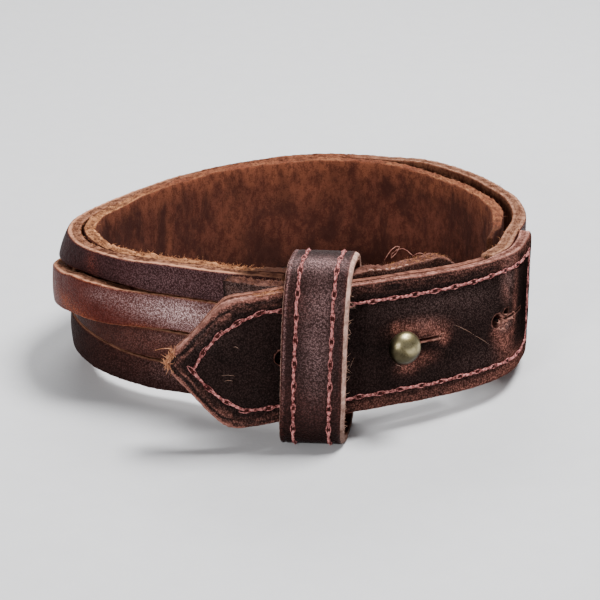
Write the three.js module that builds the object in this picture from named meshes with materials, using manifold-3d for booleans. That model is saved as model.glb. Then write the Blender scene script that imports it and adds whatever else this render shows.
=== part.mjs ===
// Multi-strand leather bracelet, fastened, lying as it rests on a table.
// Millimetres, +Z up. The wrist goes through along Z; the strap and its stud face -Y.
import * as THREE from 'three';
import { mergeVertices } from 'three/addons/utils/BufferGeometryUtils.js';
import Module from 'manifold-3d';

const wasm = await Module();
wasm.setup();

// ---------------------------------------------------------------- driving dimensions
const BODY_WIDTH = 20;
const LINER_THICK = 2.0;
const LINER_LOW = 0.2;              // how far the liner stops short of the bottom edge
const BAND_THICK = 2.3;
const STRAND_THICK = 2.2;
const TONGUE_THICK = 2.4;
const STRAP_FACE_THICK = 1.35;
const STRAP_LINING_THICK = 1.2;
const LAYER_GAP = 0.25;             // between the strap's two layers
const EDGE_ROUND = 0.3;             // worn corner of every leather edge

const KEEPER = {
  width: 9.6, halfDepth: 6.9, halfHeight: 14.6, wall: 1.3, squareness: 3.7,
  x: 3.1, y: -21.05, skew: 0.17, lean: THREE.MathUtils.degToRad(1.9), edgeRound: 0.25, sides: 44,
};
const HOLES = { first: 17.1, pitch: 18.45, count: 3, radius: 1.25, slitLength: 7.4, slitWidth: 0.5 };
const STUD = {
  footRadius: 2.5, footThick: 0.8, neckRadius: 0.85, headRadius: 2.5, headHeight: 3.4,
  standOff: 0.4, footGap: 1.25, sides: 20,
};
const BACK_REACH = 48.6;            // rearmost line of the outer band
const REST_FLAT = 0.2;              // leather pressed flat where the bracelet stands

// ---------------------------------------------------------------- plan curves
// All run the same way round, seen from above: front, left, back, right.
// Outer face of the liner, from its front end beside the keeper to its right end.
const LINER_PLAN = [
  { x: -1.8, y: -16.8 }, { x: -5.6, y: -15.85 }, { x: -10.9, y: -14.1 }, { x: -19.0, y: -11.0 }, { x: -26.0, y: -7.9 },
  { x: -31.2, y: -3.4 }, { x: -34.4, y: 3.2 }, { x: -34.6, y: 10.0 }, { x: -30.3, y: 19.7 },
  { x: -23.5, y: 29.8 }, { x: -15.5, y: 37.8 }, { x: -6.0, y: 43.3 }, { x: 4.0, y: 45.8 },
  { x: 14.6, y: 43.9 }, { x: 23.5, y: 36.7 }, { x: 30.0, y: 27.0 }, { x: 33.5, y: 16.0 },
  { x: 32.6, y: 7.0 }, { x: 30.6, y: 1.4 },
];
// Outer face of the uncut outer band, from the end of the slits to its front end.
const BAND_PLAN = [
  { x: 5.5, y: 48.6 }, { x: 14.3, y: 47.3 }, { x: 21.6, y: 45.0 }, { x: 28.4, y: 39.4 },
  { x: 33.2, y: 31.6 }, { x: 36.3, y: 23.2 }, { x: 37.3, y: 15.5 }, { x: 36.8, y: 9.5 },
  { x: 34.95, y: 3.4 }, { x: 32.9, y: -3.4 }, { x: 29.9, y: -8.3 },
];
// Outer face of the strap, from its sewn end to its tip.
const STRAP_PLAN = [
  { x: 37.3, y: 5.2 }, { x: 36.0, y: -1.0 }, { x: 33.4, y: -7.0 }, { x: 28.6, y: -12.1 },
  { x: 21.0, y: -16.9 }, { x: 14.9, y: -19.8 }, { x: 7.0, y: -23.2 }, { x: -2.5, y: -25.4 },
  { x: -6.5, y: -26.8 }, { x: -12.0, y: -27.7 }, { x: -19.3, y: -26.8 },
];
// Inner face of the stud tongue, from its free end to the end sewn on the body.
const TONGUE_PLAN = [
  { x: 23.6, y: -8.4 }, { x: 20.0, y: -10.7 }, { x: 15.0, y: -13.5 }, { x: 7.0, y: -17.4 },
  { x: 0.8, y: -19.1 }, { x: -1.6, y: -19.5 }, { x: -4.4, y: -19.3 }, { x: -7.5, y: -18.3 }, { x: -10.8, y: -17.2 },
];

// ---------------------------------------------------------------- courses along the curves
// at: millimetres from the curve's start; low and high: the leather's two edges.
// out: inner face beyond the liner's outer face; lean: how far the lower edge stands out more.
const STRAND_COURSES = {
  strand_top: [
    { at: 0.3, out: 0.3, low: 15.3, high: 20.2, lean: 0 },
    { at: 19.6, out: 0.3, low: 15.4, high: 20.2, lean: 0 },
    { at: 26.6, out: 0.3, low: 15.95, high: 20.1, lean: 0.1 },
    { at: 32.6, out: 0.3, low: 16.0, high: 20.0, lean: 0.2 },
    { at: 37.6, out: 0.3, low: 15.6, high: 19.8, lean: 1.0 },
    { at: 43.6, out: 0.4, low: 15.2, high: 19.7, lean: 1.7 },
    { at: 49.6, out: 0.4, low: 15.1, high: 19.7, lean: 1.6 },
    { at: 61.6, out: 0.3, low: 15.1, high: 19.5, lean: 0.6 },
    { at: 73.6, out: 0.3, low: 15.1, high: 19.5, lean: 0.1 },
    { at: 103.2, out: 0.3, low: 15.3, high: 20.0, lean: 0 },
  ],
  strand_crossing: [
    { at: 0.3, out: 0.3, low: 9.7, high: 15.0, lean: 0 },
    { at: 17.6, out: 0.35, low: 9.6, high: 15.1, lean: 0 },
    { at: 23.6, out: 0.9, low: 9.6, high: 15.45, lean: 0 },
    { at: 26.6, out: 1.9, low: 9.6, high: 15.7, lean: 0 },
    { at: 29.6, out: 2.85, low: 9.8, high: 16.1, lean: 0 },
    { at: 32.6, out: 3.0, low: 9.7, high: 16.1, lean: 0 },
    { at: 35.6, out: 3.0, low: 9.2, high: 15.4, lean: 0 },
    { at: 39.6, out: 3.0, low: 8.4, high: 14.8, lean: 0 },
    { at: 45.6, out: 2.95, low: 7.2, high: 13.3, lean: 0 },
    { at: 51.6, out: 2.9, low: 6.3, high: 12.0, lean: 0 },
    { at: 59.6, out: 2.85, low: 5.4, high: 10.6, lean: 0 },
    { at: 67.6, out: 2.8, low: 5.1, high: 9.9, lean: 0 },
    { at: 78.6, out: 0.4, low: 5.1, high: 9.9, lean: 0 },
    { at: 103.2, out: 0.3, low: 5.1, high: 9.9, lean: 0 },
  ],
  strand_under: [
    { at: 0.3, out: 0.3, low: 4.7, high: 9.4, lean: 0 },
    { at: 19.6, out: 0.3, low: 4.5, high: 9.3, lean: 0 },
    { at: 25.6, out: 0.3, low: 4.9, high: 9.3, lean: 0 },
    { at: 27.6, out: 0.3, low: 5.2, high: 9.3, lean: 0 },
    { at: 30.6, out: 0.3, low: 5.75, high: 10.2, lean: 0 },
    { at: 33.6, out: 0.3, low: 6.2, high: 10.8, lean: 0 },
    { at: 43.6, out: 0.3, low: 7.2, high: 11.8, lean: 0 },
    { at: 51.6, out: 0.3, low: 8.3, high: 12.9, lean: 0 },
    { at: 59.6, out: 0.3, low: 9.6, high: 14.2, lean: 0 },
    { at: 67.6, out: 0.3, low: 10.2, high: 14.8, lean: 0 },
    { at: 103.2, out: 0.3, low: 10.2, high: 15.0, lean: 0 },
  ],
  strand_bottom: [
    { at: 0.3, out: 0.3, low: -0.6, high: 4.3, lean: 0 },
    { at: 19.6, out: 0.3, low: -0.6, high: 4.2, lean: 0 },
    { at: 25.6, out: 0.3, low: -0.3, high: 4.6, lean: 0 },
    { at: 29.6, out: 0.3, low: 0.0, high: 5.3, lean: 0 },
    { at: 33.6, out: 0.3, low: 0.3, high: 5.9, lean: 0 },
    { at: 43.6, out: 0.3, low: 0.7, high: 6.3, lean: 0 },
    { at: 53.6, out: 0.3, low: 0.5, high: 5.7, lean: 0 },
    { at: 69.6, out: 0.3, low: 0.1, high: 4.8, lean: 0 },
    { at: 103.2, out: 0.3, low: 0.0, high: 4.8, lean: 0 },
  ],
};
// The strap, from its sewn end: cut a little wider than the body, and sagging towards its tip.
const STRAP_COURSE = [
  { at: 0, low: -0.1, high: 20.1 }, { at: 20, low: -0.15, high: 20.2 }, { at: 42, low: -0.1, high: 20.4 },
  { at: 50, low: -0.3, high: 20.4 }, { at: 58, low: -0.7, high: 20.0 }, { at: 71, low: -0.9, high: 19.8 },
];
// End profiles: reach is measured in from the end, share is how much of the width is left there.
const STRAP_TIP = [
  { reach: 0, share: 0.09 }, { reach: 0.3, share: 0.17 }, { reach: 1.0, share: 0.25 },
  { reach: 2.2, share: 0.36 }, { reach: 4.4, share: 0.59 }, { reach: 6.4, share: 0.8 },
  { reach: 7.8, share: 0.92 }, { reach: 8.8, share: 0.97 }, { reach: 10.2, share: 1 },
];
const SEWN_END = [
  { reach: 0, share: 0.88 }, { reach: 0.5, share: 0.95 }, { reach: 1.3, share: 0.99 },
  { reach: 2.0, share: 1 },
];
const TONGUE_END = [
  { reach: 0, share: 0.52 }, { reach: 0.5, share: 0.68 }, { reach: 1.3, share: 0.81 },
  { reach: 2.6, share: 0.92 }, { reach: 4.4, share: 1 },
];
const TONGUE_RISE = 1.5;            // the tongue's free end rides this much higher

// ---------------------------------------------------------------- helpers
function planCurve(rows) {
  const curve = new THREE.CatmullRomCurve3(rows.map((row) => new THREE.Vector3(row.x, row.y, 0)));
  curve.curveType = 'centripetal';
  curve.arcLengthDivisions = 600;
  return curve;
}

// A smooth line through a table's rows that never swings past them.
function easedTable(rows, place, column) {
  const steps = rows.slice(1).map((row, i) => row[place] - rows[i][place]);
  const rates = rows.slice(1).map((row, i) => (row[column] - rows[i][column]) / steps[i]);
  const slopes = rows.map((_, i) => {
    const [before, after] = [rates[i - 1] ?? 0, rates[i] ?? 0];
    return before * after > 0 ? (2 * before * after) / (before + after) : 0;
  });
  return (at) => {
    const next = rows.findIndex((row, i) => i > 0 && row[place] >= at);
    const i = next < 0 ? rows.length - 2 : next - 1;
    const t = THREE.MathUtils.clamp((at - rows[i][place]) / steps[i], 0, 1);
    const ease = t * t * (3 - 2 * t);
    const bend = t * (1 - t) * ((1 - t) * slopes[i] - t * slopes[i + 1]) * steps[i];
    return rows[i][column] * (1 - ease) + rows[i + 1][column] * ease + bend;
  };
}

function straightTable(rows, place, column) {
  const places = rows.map((row) => row[place]);
  const values = rows.map((row) => row[column]);
  const line = new THREE.LinearInterpolant(places, values, 1, new Float64Array(1));
  const last = places[places.length - 1];
  return (at) => line.evaluate(Math.min(at, last))[0];
}

function evenStations(from, to, count) {
  return Array.from({ length: count + 1 }, (_, i) => from + ((to - from) * i) / count);
}

// Evenly spaced stations between the rows of an end profile at either end.
function profiledStations(length, count, startRows, endRows) {
  const starts = startRows.map((row) => row.reach);
  const ends = endRows.map((row) => length - row.reach).reverse();
  const first = starts.length ? starts.pop() : 0;
  const last = ends.length ? ends.shift() : length;
  return [...starts, ...evenStations(first, last, count), ...ends];
}

// Where a plan curve is at a distance along it, and which way is outward there.
function onCurve(curve, at) {
  const share = THREE.MathUtils.clamp(at / curve.getLength(), 0, 1);
  const tangent = curve.getTangentAt(share);
  return { point: curve.getPointAt(share), tangent, outward: new THREE.Vector3(-tangent.y, tangent.x, 0) };
}

// A closed bar of leather lofted along a plan curve. section(at) says how far its inner and
// outer faces lie outside the curve, how high its edges are, and how much the low edge leans out.
function loftLeather(curve, stations, section) {
  const positions = [];
  const ring = 8;
  for (const at of stations) {
    const { point, outward } = onCurve(curve, at);
    const { inner, outer, low, high, lean = 0 } = section(at);
    const round = Math.min(EDGE_ROUND, (outer - inner) / 3, (high - low) / 3);
    const corners = [
      [inner + round, low], [outer - round, low], [outer, low + round], [outer, high - round],
      [outer - round, high], [inner + round, high], [inner, high - round], [inner, low + round],
    ];
    for (const [out, up] of corners) {
      const reach = out + (lean * (high - up)) / (high - low);
      positions.push(point.x + outward.x * reach, point.y + outward.y * reach, up);
    }
  }
  const faces = [];
  for (let i = 0; i + 1 < stations.length; i++) {
    for (let j = 0; j < ring; j++) {
      const a = i * ring + j;
      const b = i * ring + ((j + 1) % ring);
      faces.push(a, b, a + ring, b, b + ring, a + ring);
    }
  }
  const end = (stations.length - 1) * ring;
  for (let j = 1; j + 1 < ring; j++) {
    faces.push(0, j + 1, j);
    faces.push(end, end + j, end + j + 1);
  }
  const geometry = new THREE.BufferGeometry();
  geometry.setAttribute('position', new THREE.Float32BufferAttribute(positions, 3));
  geometry.setIndex(faces);
  return geometry;
}

function toSolid(geometry) {
  const bare = geometry.clone();
  bare.deleteAttribute('normal');
  bare.deleteAttribute('uv');
  const merged = mergeVertices(bare, 1e-4);
  const vertProperties = new Float32Array(merged.attributes.position.array);
  const triVerts = new Uint32Array(merged.index.array);
  return new wasm.Manifold(new wasm.Mesh({ numProp: 3, vertProperties, triVerts }));
}

function toGeometry(solid) {
  const mesh = solid.getMesh();
  const geometry = new THREE.BufferGeometry();
  geometry.setAttribute('position', new THREE.Float32BufferAttribute(mesh.vertProperties, 3));
  geometry.setIndex(new THREE.Uint32BufferAttribute(mesh.triVerts, 1));
  return geometry;
}

// Turns a shape's local Z outward at a place on a curve, its local X along the curve.
function facingOut(curve, at, height) {
  const { point, tangent, outward } = onCurve(curve, at);
  const up = new THREE.Vector3().crossVectors(outward, tangent);
  const place = new THREE.Matrix4().makeBasis(tangent, up, outward);
  return place.setPosition(point.x, point.y, height);
}

// ---------------------------------------------------------------- resting plane
const keeperLow = BODY_WIDTH / 2 - KEEPER.halfHeight;
const restTilt = Math.atan2(-keeperLow, BACK_REACH - KEEPER.y);
const floorHeight = REST_FLAT - BACK_REACH * Math.sin(restTilt);

// The table under the tilted bracelet, in the bracelet's own upright frame.
const floor = toSolid(new THREE.BoxGeometry(200, 200, 20).translate(0, 0, floorHeight - 10).rotateX(restTilt));

function pressedOnTable(geometry) {
  return toGeometry(toSolid(geometry).subtract(floor));
}

// ---------------------------------------------------------------- pieces
const linerCurve = planCurve(LINER_PLAN);
const bandCurve = planCurve(BAND_PLAN);
const strapCurve = planCurve(STRAP_PLAN);
const tongueCurve = planCurve(TONGUE_PLAN);

function liner() {
  const stations = evenStations(0, linerCurve.getLength(), 60);
  return loftLeather(linerCurve, stations, () => ({
    inner: -LINER_THICK, outer: 0, low: LINER_LOW, high: BODY_WIDTH,
  }));
}

function outerBand() {
  const stations = evenStations(0, bandCurve.getLength(), 34);
  return loftLeather(bandCurve, stations, () => ({
    inner: -BAND_THICK, outer: 0, low: 0, high: BODY_WIDTH,
  }));
}

function strand(rows) {
  const [out, low, high, lean] = ['out', 'low', 'high', 'lean'].map((name) => easedTable(rows, 'at', name));
  const stations = evenStations(rows[0].at, rows[rows.length - 1].at, 44);
  return loftLeather(linerCurve, stations, (at) => ({
    inner: out(at), outer: out(at) + STRAND_THICK, low: low(at), high: high(at), lean: lean(at),
  }));
}

function strapSection(inner, outer) {
  const length = strapCurve.getLength();
  const [low, high] = ['low', 'high'].map((name) => easedTable(STRAP_COURSE, 'at', name));
  const tip = straightTable(STRAP_TIP, 'reach', 'share');
  const sewn = straightTable(SEWN_END, 'reach', 'share');
  return (at) => {
    const middle = (low(at) + high(at)) / 2;
    const half = ((high(at) - low(at)) / 2) * Math.min(tip(length - at), sewn(at));
    return { inner, outer, low: middle - half, high: middle + half };
  };
}

// A round hole with a slit that points away from the strap's tip.
function strapHole(index) {
  const at = strapCurve.getLength() - HOLES.first - index * HOLES.pitch;
  const round = new THREE.CylinderGeometry(HOLES.radius, HOLES.radius, 12, 16).rotateX(Math.PI / 2);
  const slit = new THREE.BoxGeometry(HOLES.slitLength, HOLES.slitWidth, 12)
    .translate(-HOLES.slitLength / 2, 0, 0);
  const place = facingOut(strapCurve, at, BODY_WIDTH / 2);
  return toSolid(round.applyMatrix4(place)).add(toSolid(slit.applyMatrix4(place)));
}

function punched(geometry) {
  let solid = toSolid(geometry);
  for (let i = 0; i < HOLES.count; i++) {
    solid = solid.subtract(strapHole(i));
  }
  return toGeometry(solid);
}

function strapFace() {
  const stations = profiledStations(strapCurve.getLength(), 36, SEWN_END, STRAP_TIP);
  return punched(loftLeather(strapCurve, stations, strapSection(-STRAP_FACE_THICK, 0)));
}

// The lining stops where the strap runs over the end of the outer band.
const LINING_START = 18.6;
function strapLining() {
  const outer = -STRAP_FACE_THICK - LAYER_GAP;
  const length = strapCurve.getLength();
  const stations = profiledStations(length, 36, [], STRAP_TIP).filter((at) => at > LINING_START);
  const strip = loftLeather(strapCurve, stations, strapSection(outer - STRAP_LINING_THICK, outer));
  return punched(strip);
}

const studAt = strapCurve.getLength() - HOLES.first - HOLES.pitch;

function studTongue() {
  const length = tongueCurve.getLength();
  const share = straightTable(TONGUE_END, 'reach', 'share');
  const stations = profiledStations(length, 24, TONGUE_END, []);
  const tab = loftLeather(tongueCurve, stations, (at) => {
    const rise = TONGUE_RISE * THREE.MathUtils.smoothstep(length - at, length / 3, length);
    const half = (BODY_WIDTH / 2) * share(at);
    return {
      inner: 0, outer: TONGUE_THICK, low: BODY_WIDTH / 2 + rise - half, high: BODY_WIDTH / 2 + rise + half,
    };
  });
  const neckHole = new THREE.CylinderGeometry(HOLES.radius, HOLES.radius, 14, 16).rotateX(Math.PI / 2);
  return toGeometry(toSolid(tab).subtract(toSolid(neckHole.applyMatrix4(studPlace()))));
}

function studPlace() {
  return facingOut(strapCurve, studAt, BODY_WIDTH / 2);
}

// Turned brass button: a flat foot behind the tongue, a neck, and a domed head.
function stud() {
  const face = STUD.standOff;
  const behindTongue = STRAP_FACE_THICK + LAYER_GAP + STRAP_LINING_THICK + TONGUE_THICK + STUD.footGap;
  const footTop = -behindTongue;
  const footBottom = footTop - STUD.footThick;
  const profile = [
    new THREE.Vector2(0, footBottom),
    new THREE.Vector2(STUD.footRadius - 0.3, footBottom),
    new THREE.Vector2(STUD.footRadius, footBottom + 0.25),
    new THREE.Vector2(STUD.footRadius, footTop),
    new THREE.Vector2(STUD.neckRadius, footTop),
    new THREE.Vector2(STUD.neckRadius, face),
  ];
  const middle = face + STUD.headHeight * 0.42;
  for (const angle of [-60, -40, -20, 0, 20, 40, 60, 77]) {
    const turn = THREE.MathUtils.degToRad(angle);
    const rise = angle < 0 ? middle - face : STUD.headHeight - (middle - face);
    profile.push(new THREE.Vector2(STUD.headRadius * Math.cos(turn), middle + rise * Math.sin(turn)));
  }
  profile.push(new THREE.Vector2(0, face + STUD.headHeight));
  const turned = new THREE.LatheGeometry(profile, STUD.sides).rotateX(Math.PI / 2);
  return turned.applyMatrix4(studPlace());
}

// A flattened round: squareness 2 is an ellipse, more is boxier.
function squareRound(halfDepth, halfHeight) {
  const power = 2 / KEEPER.squareness;
  const bend = (value) => Math.sign(value) * Math.abs(value) ** power;
  return Array.from({ length: KEEPER.sides }, (_, i) => {
    const turn = (2 * Math.PI * i) / KEEPER.sides;
    return new THREE.Vector2(halfDepth * bend(Math.cos(turn)), halfHeight * bend(Math.sin(turn)));
  });
}

// A loose loop of leather, pushed a little askew on the strap it holds.
function keeperLoop() {
  const { halfDepth, halfHeight, wall, edgeRound, width, skew, lean } = KEEPER;
  const loop = new THREE.Shape(squareRound(halfDepth - edgeRound, halfHeight - edgeRound));
  const hole = squareRound(halfDepth - wall + edgeRound, halfHeight - wall + edgeRound);
  loop.holes.push(new THREE.Path(hole));
  const geometry = new THREE.ExtrudeGeometry(loop, {
    depth: width - 2 * edgeRound, bevelEnabled: true, bevelThickness: edgeRound, bevelSize: edgeRound,
    bevelSegments: 1, curveSegments: 1,
  }).translate(0, 0, edgeRound - width / 2);
  const depthWay = new THREE.Vector3(-skew, -1, 0);
  const upWay = new THREE.Vector3(Math.sin(lean), 0, Math.cos(lean));
  const widthWay = new THREE.Vector3(-Math.cos(lean), 0, Math.sin(lean));
  const place = new THREE.Matrix4().makeBasis(depthWay, upWay, widthWay);
  place.setPosition(KEEPER.x, KEEPER.y, BODY_WIDTH / 2);
  return geometry.applyMatrix4(place);
}

// ---------------------------------------------------------------- assembly
const leather = (color, roughness) => new THREE.MeshStandardMaterial({ color, roughness, metalness: 0 });
const PIECES = [
  { name: 'liner', geometry: pressedOnTable(liner()), material: leather(0x8a4f33, 0.95) },
  { name: 'outer_band', geometry: pressedOnTable(outerBand()), material: leather(0x4a241b, 0.55) },
  ...Object.entries(STRAND_COURSES).map(([name, rows]) => ({
    name, geometry: pressedOnTable(strand(rows)), material: leather(0x50231c, 0.5),
  })),
  { name: 'stud_tongue', geometry: studTongue(), material: leather(0x3a2019, 0.6) },
  { name: 'strap_face', geometry: strapFace(), material: leather(0x2b1815, 0.55) },
  { name: 'strap_lining', geometry: strapLining(), material: leather(0x6b3a2a, 0.85) },
  { name: 'keeper_loop', geometry: pressedOnTable(keeperLoop()), material: leather(0x3f2019, 0.5) },
  { name: 'stud', geometry: stud(), material: new THREE.MeshStandardMaterial({
    color: 0x8f8155, roughness: 0.35, metalness: 1,
  }) },
];

const resting = new THREE.Group();
resting.rotation.x = -restTilt;
for (const { name, geometry, material } of PIECES) {
  const mesh = new THREE.Mesh(geometry, material);
  mesh.name = name;
  resting.add(mesh);
}

const bracelet = new THREE.Group();
bracelet.add(resting);
bracelet.updateMatrixWorld(true);
const extent = new THREE.Box3().setFromObject(bracelet, true);
const middle = extent.getCenter(new THREE.Vector3());
resting.position.set(-middle.x, -middle.y, -extent.min.z);
bracelet.updateMatrixWorld(true);

export default bracelet;
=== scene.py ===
"""Multi-strand leather bracelet, fastened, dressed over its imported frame.

Pieces are cut, bent and sewn in millimetres in the upright bracelet, +Z up, and then
laid down as the bracelet rests on the table, in metres.
"""
import bisect
import math
import random

import bmesh
import bpy
from mathutils import Matrix, Vector, noise


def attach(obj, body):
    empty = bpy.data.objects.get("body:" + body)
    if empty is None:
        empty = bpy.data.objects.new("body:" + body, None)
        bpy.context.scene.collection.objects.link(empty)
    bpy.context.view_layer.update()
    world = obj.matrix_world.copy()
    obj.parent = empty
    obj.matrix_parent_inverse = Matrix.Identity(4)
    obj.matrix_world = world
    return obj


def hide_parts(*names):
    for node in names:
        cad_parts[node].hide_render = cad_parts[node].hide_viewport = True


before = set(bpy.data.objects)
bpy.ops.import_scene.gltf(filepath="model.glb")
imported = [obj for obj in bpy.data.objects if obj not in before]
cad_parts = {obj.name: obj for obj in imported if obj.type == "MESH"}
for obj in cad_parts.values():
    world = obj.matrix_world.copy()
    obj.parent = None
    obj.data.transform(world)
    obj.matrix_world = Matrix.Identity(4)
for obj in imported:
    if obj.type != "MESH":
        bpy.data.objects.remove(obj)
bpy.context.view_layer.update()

# ------------------------------------------------------------------ main sizes, mm
BODY_WIDTH = 20.0
LINER_THICK = 2.0
LINER_LOW = 0.2
BAND_THICK = 2.3
STRAND_THICK = 2.2
STRAND_RUN_ON = 1.6                 # how far each strand runs on into the uncut band
TONGUE_THICK = 2.4
TONGUE_RISE = 1.5
STRAP_FACE_THICK = 1.35
STRAP_LINING_THICK = 1.2
LAYER_GAP = 0.25
LINING_START = 18.6

HOLE_FIRST = 17.1                   # from the strap's tip to the nearest of its three holes
HOLE_PITCH = 18.45
HOLE_RADIUS = 1.25
SLIT_LENGTH = 7.4
SLIT_WIDTH = 0.5
PUNCH_LENGTH = 9.0
PIT_PLACE = (-2.1, -1.0)            # the torn pit, from the middle of the third hole
PIT_LIFT = 0.8
PIT_RADIUS = 0.78

STUD_FOOT_RADIUS = 2.5
STUD_FOOT_THICK = 0.8
STUD_NECK_RADIUS = 0.85
STUD_HEAD_RADIUS = 2.58
STUD_HEAD_LOW = 0.4                 # from the strap's face out to the head's underside
STUD_HEAD_TALL = 3.4
STUD_HEAD_BELLY = 0.42              # where the head is widest, as a share of its height
STUD_SLACK = 1.25                   # what the layers on the neck leave free

KEEPER_WIDTH = 9.6
KEEPER_DEPTH = 6.9
KEEPER_HEIGHT = 14.6
KEEPER_WALL = 1.3
KEEPER_SQUARE = 3.7
KEEPER_MIDDLE = Vector((3.1, -21.05, 10.0))
KEEPER_SKEW = 0.17
KEEPER_PINCH = 0.04                 # how far the loop's top is drawn together toward its front
KEEPER_LEAN = math.radians(1.9)
KEEPER_SEAMS = (2.75, -2.55)        # the two rows of stitching, left and right of the middle
KEEPER_CREASE = 4.1                 # a line pressed in beside the left edge

STRAP_STITCH = 3.5
KEEPER_STITCHES = 21                # in each row round the loop
THREAD = 0.17
PLY_REACH = 0.108                   # from a thread's middle to the middle of each of its two plies
STITCH_TWIST = 11.0                 # how far the plies turn round each other in a stitch, in radians
AWL_HOLE = (0.6, 0.33, 0.18)        # half its length, width and depth

CORNER_SOFT = 0.32                  # how round a strip's long corners and its cut ends are
END_SOFT = 0.3
CORNER_STEPS = 4
TABLE_GAP = 0.00001                 # metres that keep every piece just clear of the table

# How the upright bracelet lies on the table: leaning back on the lower end of its keeper.
REST_TURN = -0.06594873
REST_SHIFT = Vector((1.3594, -11.0941, 3.0028))
TO_REST = (
    Matrix.Scale(0.001, 4)
    @ Matrix.Translation(REST_SHIFT)
    @ Matrix.Rotation(REST_TURN, 4, "X")
)

# ------------------------------------------------------------------ plan curves, mm
LINER_PLAN = [
    (-1.8, -16.8), (-5.6, -15.85), (-10.9, -14.1), (-19.0, -11.0), (-26.0, -7.9),
    (-31.2, -3.4), (-34.4, 3.2), (-34.6, 10.0), (-30.3, 19.7), (-23.5, 29.8),
    (-15.5, 37.8), (-6.0, 43.3), (4.0, 45.8), (14.6, 43.9), (23.5, 36.7),
    (30.0, 27.0), (33.5, 16.0), (32.6, 7.0), (30.6, 1.4),
]
BAND_PLAN = [
    (5.5, 48.6), (14.3, 47.3), (21.6, 45.0), (28.4, 39.4), (33.2, 31.6),
    (36.3, 23.2), (37.3, 15.5), (36.8, 9.5), (34.95, 3.4), (32.9, -3.4), (29.9, -8.3),
]
STRAP_PLAN = [
    (37.3, 5.2), (36.0, -1.0), (33.4, -7.0), (28.6, -12.1), (21.0, -16.9), (14.9, -19.8),
    (7.0, -23.2), (-2.5, -25.4), (-6.5, -26.8), (-12.0, -27.7), (-19.3, -26.8),
]
TONGUE_PLAN = [
    (23.6, -8.4), (20.0, -10.7), (15.0, -13.5), (7.0, -17.4), (0.8, -19.1),
    (-1.6, -19.5), (-4.4, -19.3), (-7.5, -18.3), (-10.8, -17.2),
]

# Each strand: along the liner, gap behind it, lower edge, upper edge, outward lean of the lower edge.
STRANDS = {
    "strand_top": [
        (0.3, 0.3, 15.3, 20.2, 0), (19.6, 0.3, 15.4, 20.2, 0), (26.6, 0.3, 15.95, 20.1, 0.1),
        (32.6, 0.3, 16.0, 20.0, 0.2), (37.6, 0.3, 15.6, 19.8, 1.0), (43.6, 0.4, 15.2, 19.7, 1.7),
        (49.6, 0.4, 15.1, 19.7, 1.6), (61.6, 0.3, 15.1, 19.5, 0.6), (73.6, 0.3, 15.1, 19.5, 0.1),
        (103.2, 0.3, 15.3, 20.0, 0),
    ],
    "strand_crossing": [
        (0.3, 0.3, 9.7, 15.0, 0), (17.6, 0.35, 9.6, 15.1, 0), (23.6, 0.9, 9.6, 15.45, 0),
        (26.6, 1.9, 9.6, 15.7, 0), (29.6, 2.85, 9.8, 16.1, 0), (32.6, 3.0, 9.7, 16.1, 0),
        (35.6, 3.0, 9.2, 15.4, 0), (39.6, 3.0, 8.4, 14.8, 0), (45.6, 2.95, 7.2, 13.3, 0),
        (51.6, 2.9, 6.3, 12.0, 0), (59.6, 2.85, 5.4, 10.6, 0), (67.6, 2.8, 5.1, 9.9, 0),
        (78.6, 0.4, 5.1, 9.9, 0), (103.2, 0.3, 5.1, 9.9, 0),
    ],
    "strand_under": [
        (0.3, 0.3, 4.7, 9.4, 0), (19.6, 0.3, 4.5, 9.3, 0), (25.6, 0.3, 4.9, 9.3, 0),
        (27.6, 0.3, 5.2, 9.3, 0), (30.6, 0.3, 5.75, 10.2, 0), (33.6, 0.3, 6.2, 10.8, 0),
        (43.6, 0.3, 7.2, 11.8, 0), (51.6, 0.3, 8.3, 12.9, 0), (59.6, 0.3, 9.6, 14.2, 0),
        (67.6, 0.3, 10.2, 14.8, 0), (103.2, 0.3, 10.2, 15.0, 0),
    ],
    "strand_bottom": [
        (0.3, 0.3, -0.6, 4.3, 0), (19.6, 0.3, -0.6, 4.2, 0), (25.6, 0.3, -0.3, 4.6, 0),
        (29.6, 0.3, 0.0, 5.3, 0), (33.6, 0.3, 0.3, 5.9, 0), (43.6, 0.3, 0.7, 6.3, 0),
        (53.6, 0.3, 0.5, 5.7, 0), (69.6, 0.3, 0.1, 4.8, 0), (103.2, 0.3, 0.0, 4.8, 0),
    ],
}
# The strap's edges along its length, and how its two ends and the tongue's free end narrow.
STRAP_EDGES = [
    (0, -0.1, 20.1), (20, -0.15, 20.2), (42, -0.1, 20.4), (50, -0.3, 20.4), (58, -0.7, 20.0),
    (71.3, -0.9, 19.8),
]
STRAP_TIP = [
    (0, 0.09), (0.3, 0.17), (1.0, 0.25), (2.2, 0.36), (4.4, 0.59), (6.4, 0.8), (7.8, 0.92),
    (8.8, 0.97), (10.2, 1),
]
SEWN_END = [(0, 0.88), (0.5, 0.95), (1.3, 0.99), (2.0, 1)]
TONGUE_END = [(0, 0.52), (0.5, 0.68), (1.3, 0.81), (2.6, 0.92), (4.4, 1)]

# The strap's stitching, as (along, up) corners on its face.
STRAP_SEAM = [
    (5.0, 17.9), (17.5, 17.85), (28.8, 17.5), (41.5, 17.5), (57.9, 17.45), (59.6, 17.0),
    (63.28, 15.02), (65.54, 12.62), (67.86, 8.8), (65.65, 6.26), (63.1, 4.19), (61.05, 2.15),
    (58.08, 2.2), (43.26, 2.44), (29.8, 2.45), (22.8, 2.6), (12.65, 2.4), (5.0, 2.4),
]


# ------------------------------------------------------------------ small reckoning
def between(low, high, value):
    """0 at low, 1 at high, smooth in between."""
    share = max(0.0, min(1.0, (value - low) / (high - low)))
    return share * share * (3 - 2 * share)


def bump_at(along, up, centre, reach):
    """A soft hill of height 1 on a leather face."""
    a = (along - centre[0]) / reach[0]
    b = (up - centre[1]) / reach[1]
    return math.exp(-(a * a + b * b))


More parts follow.
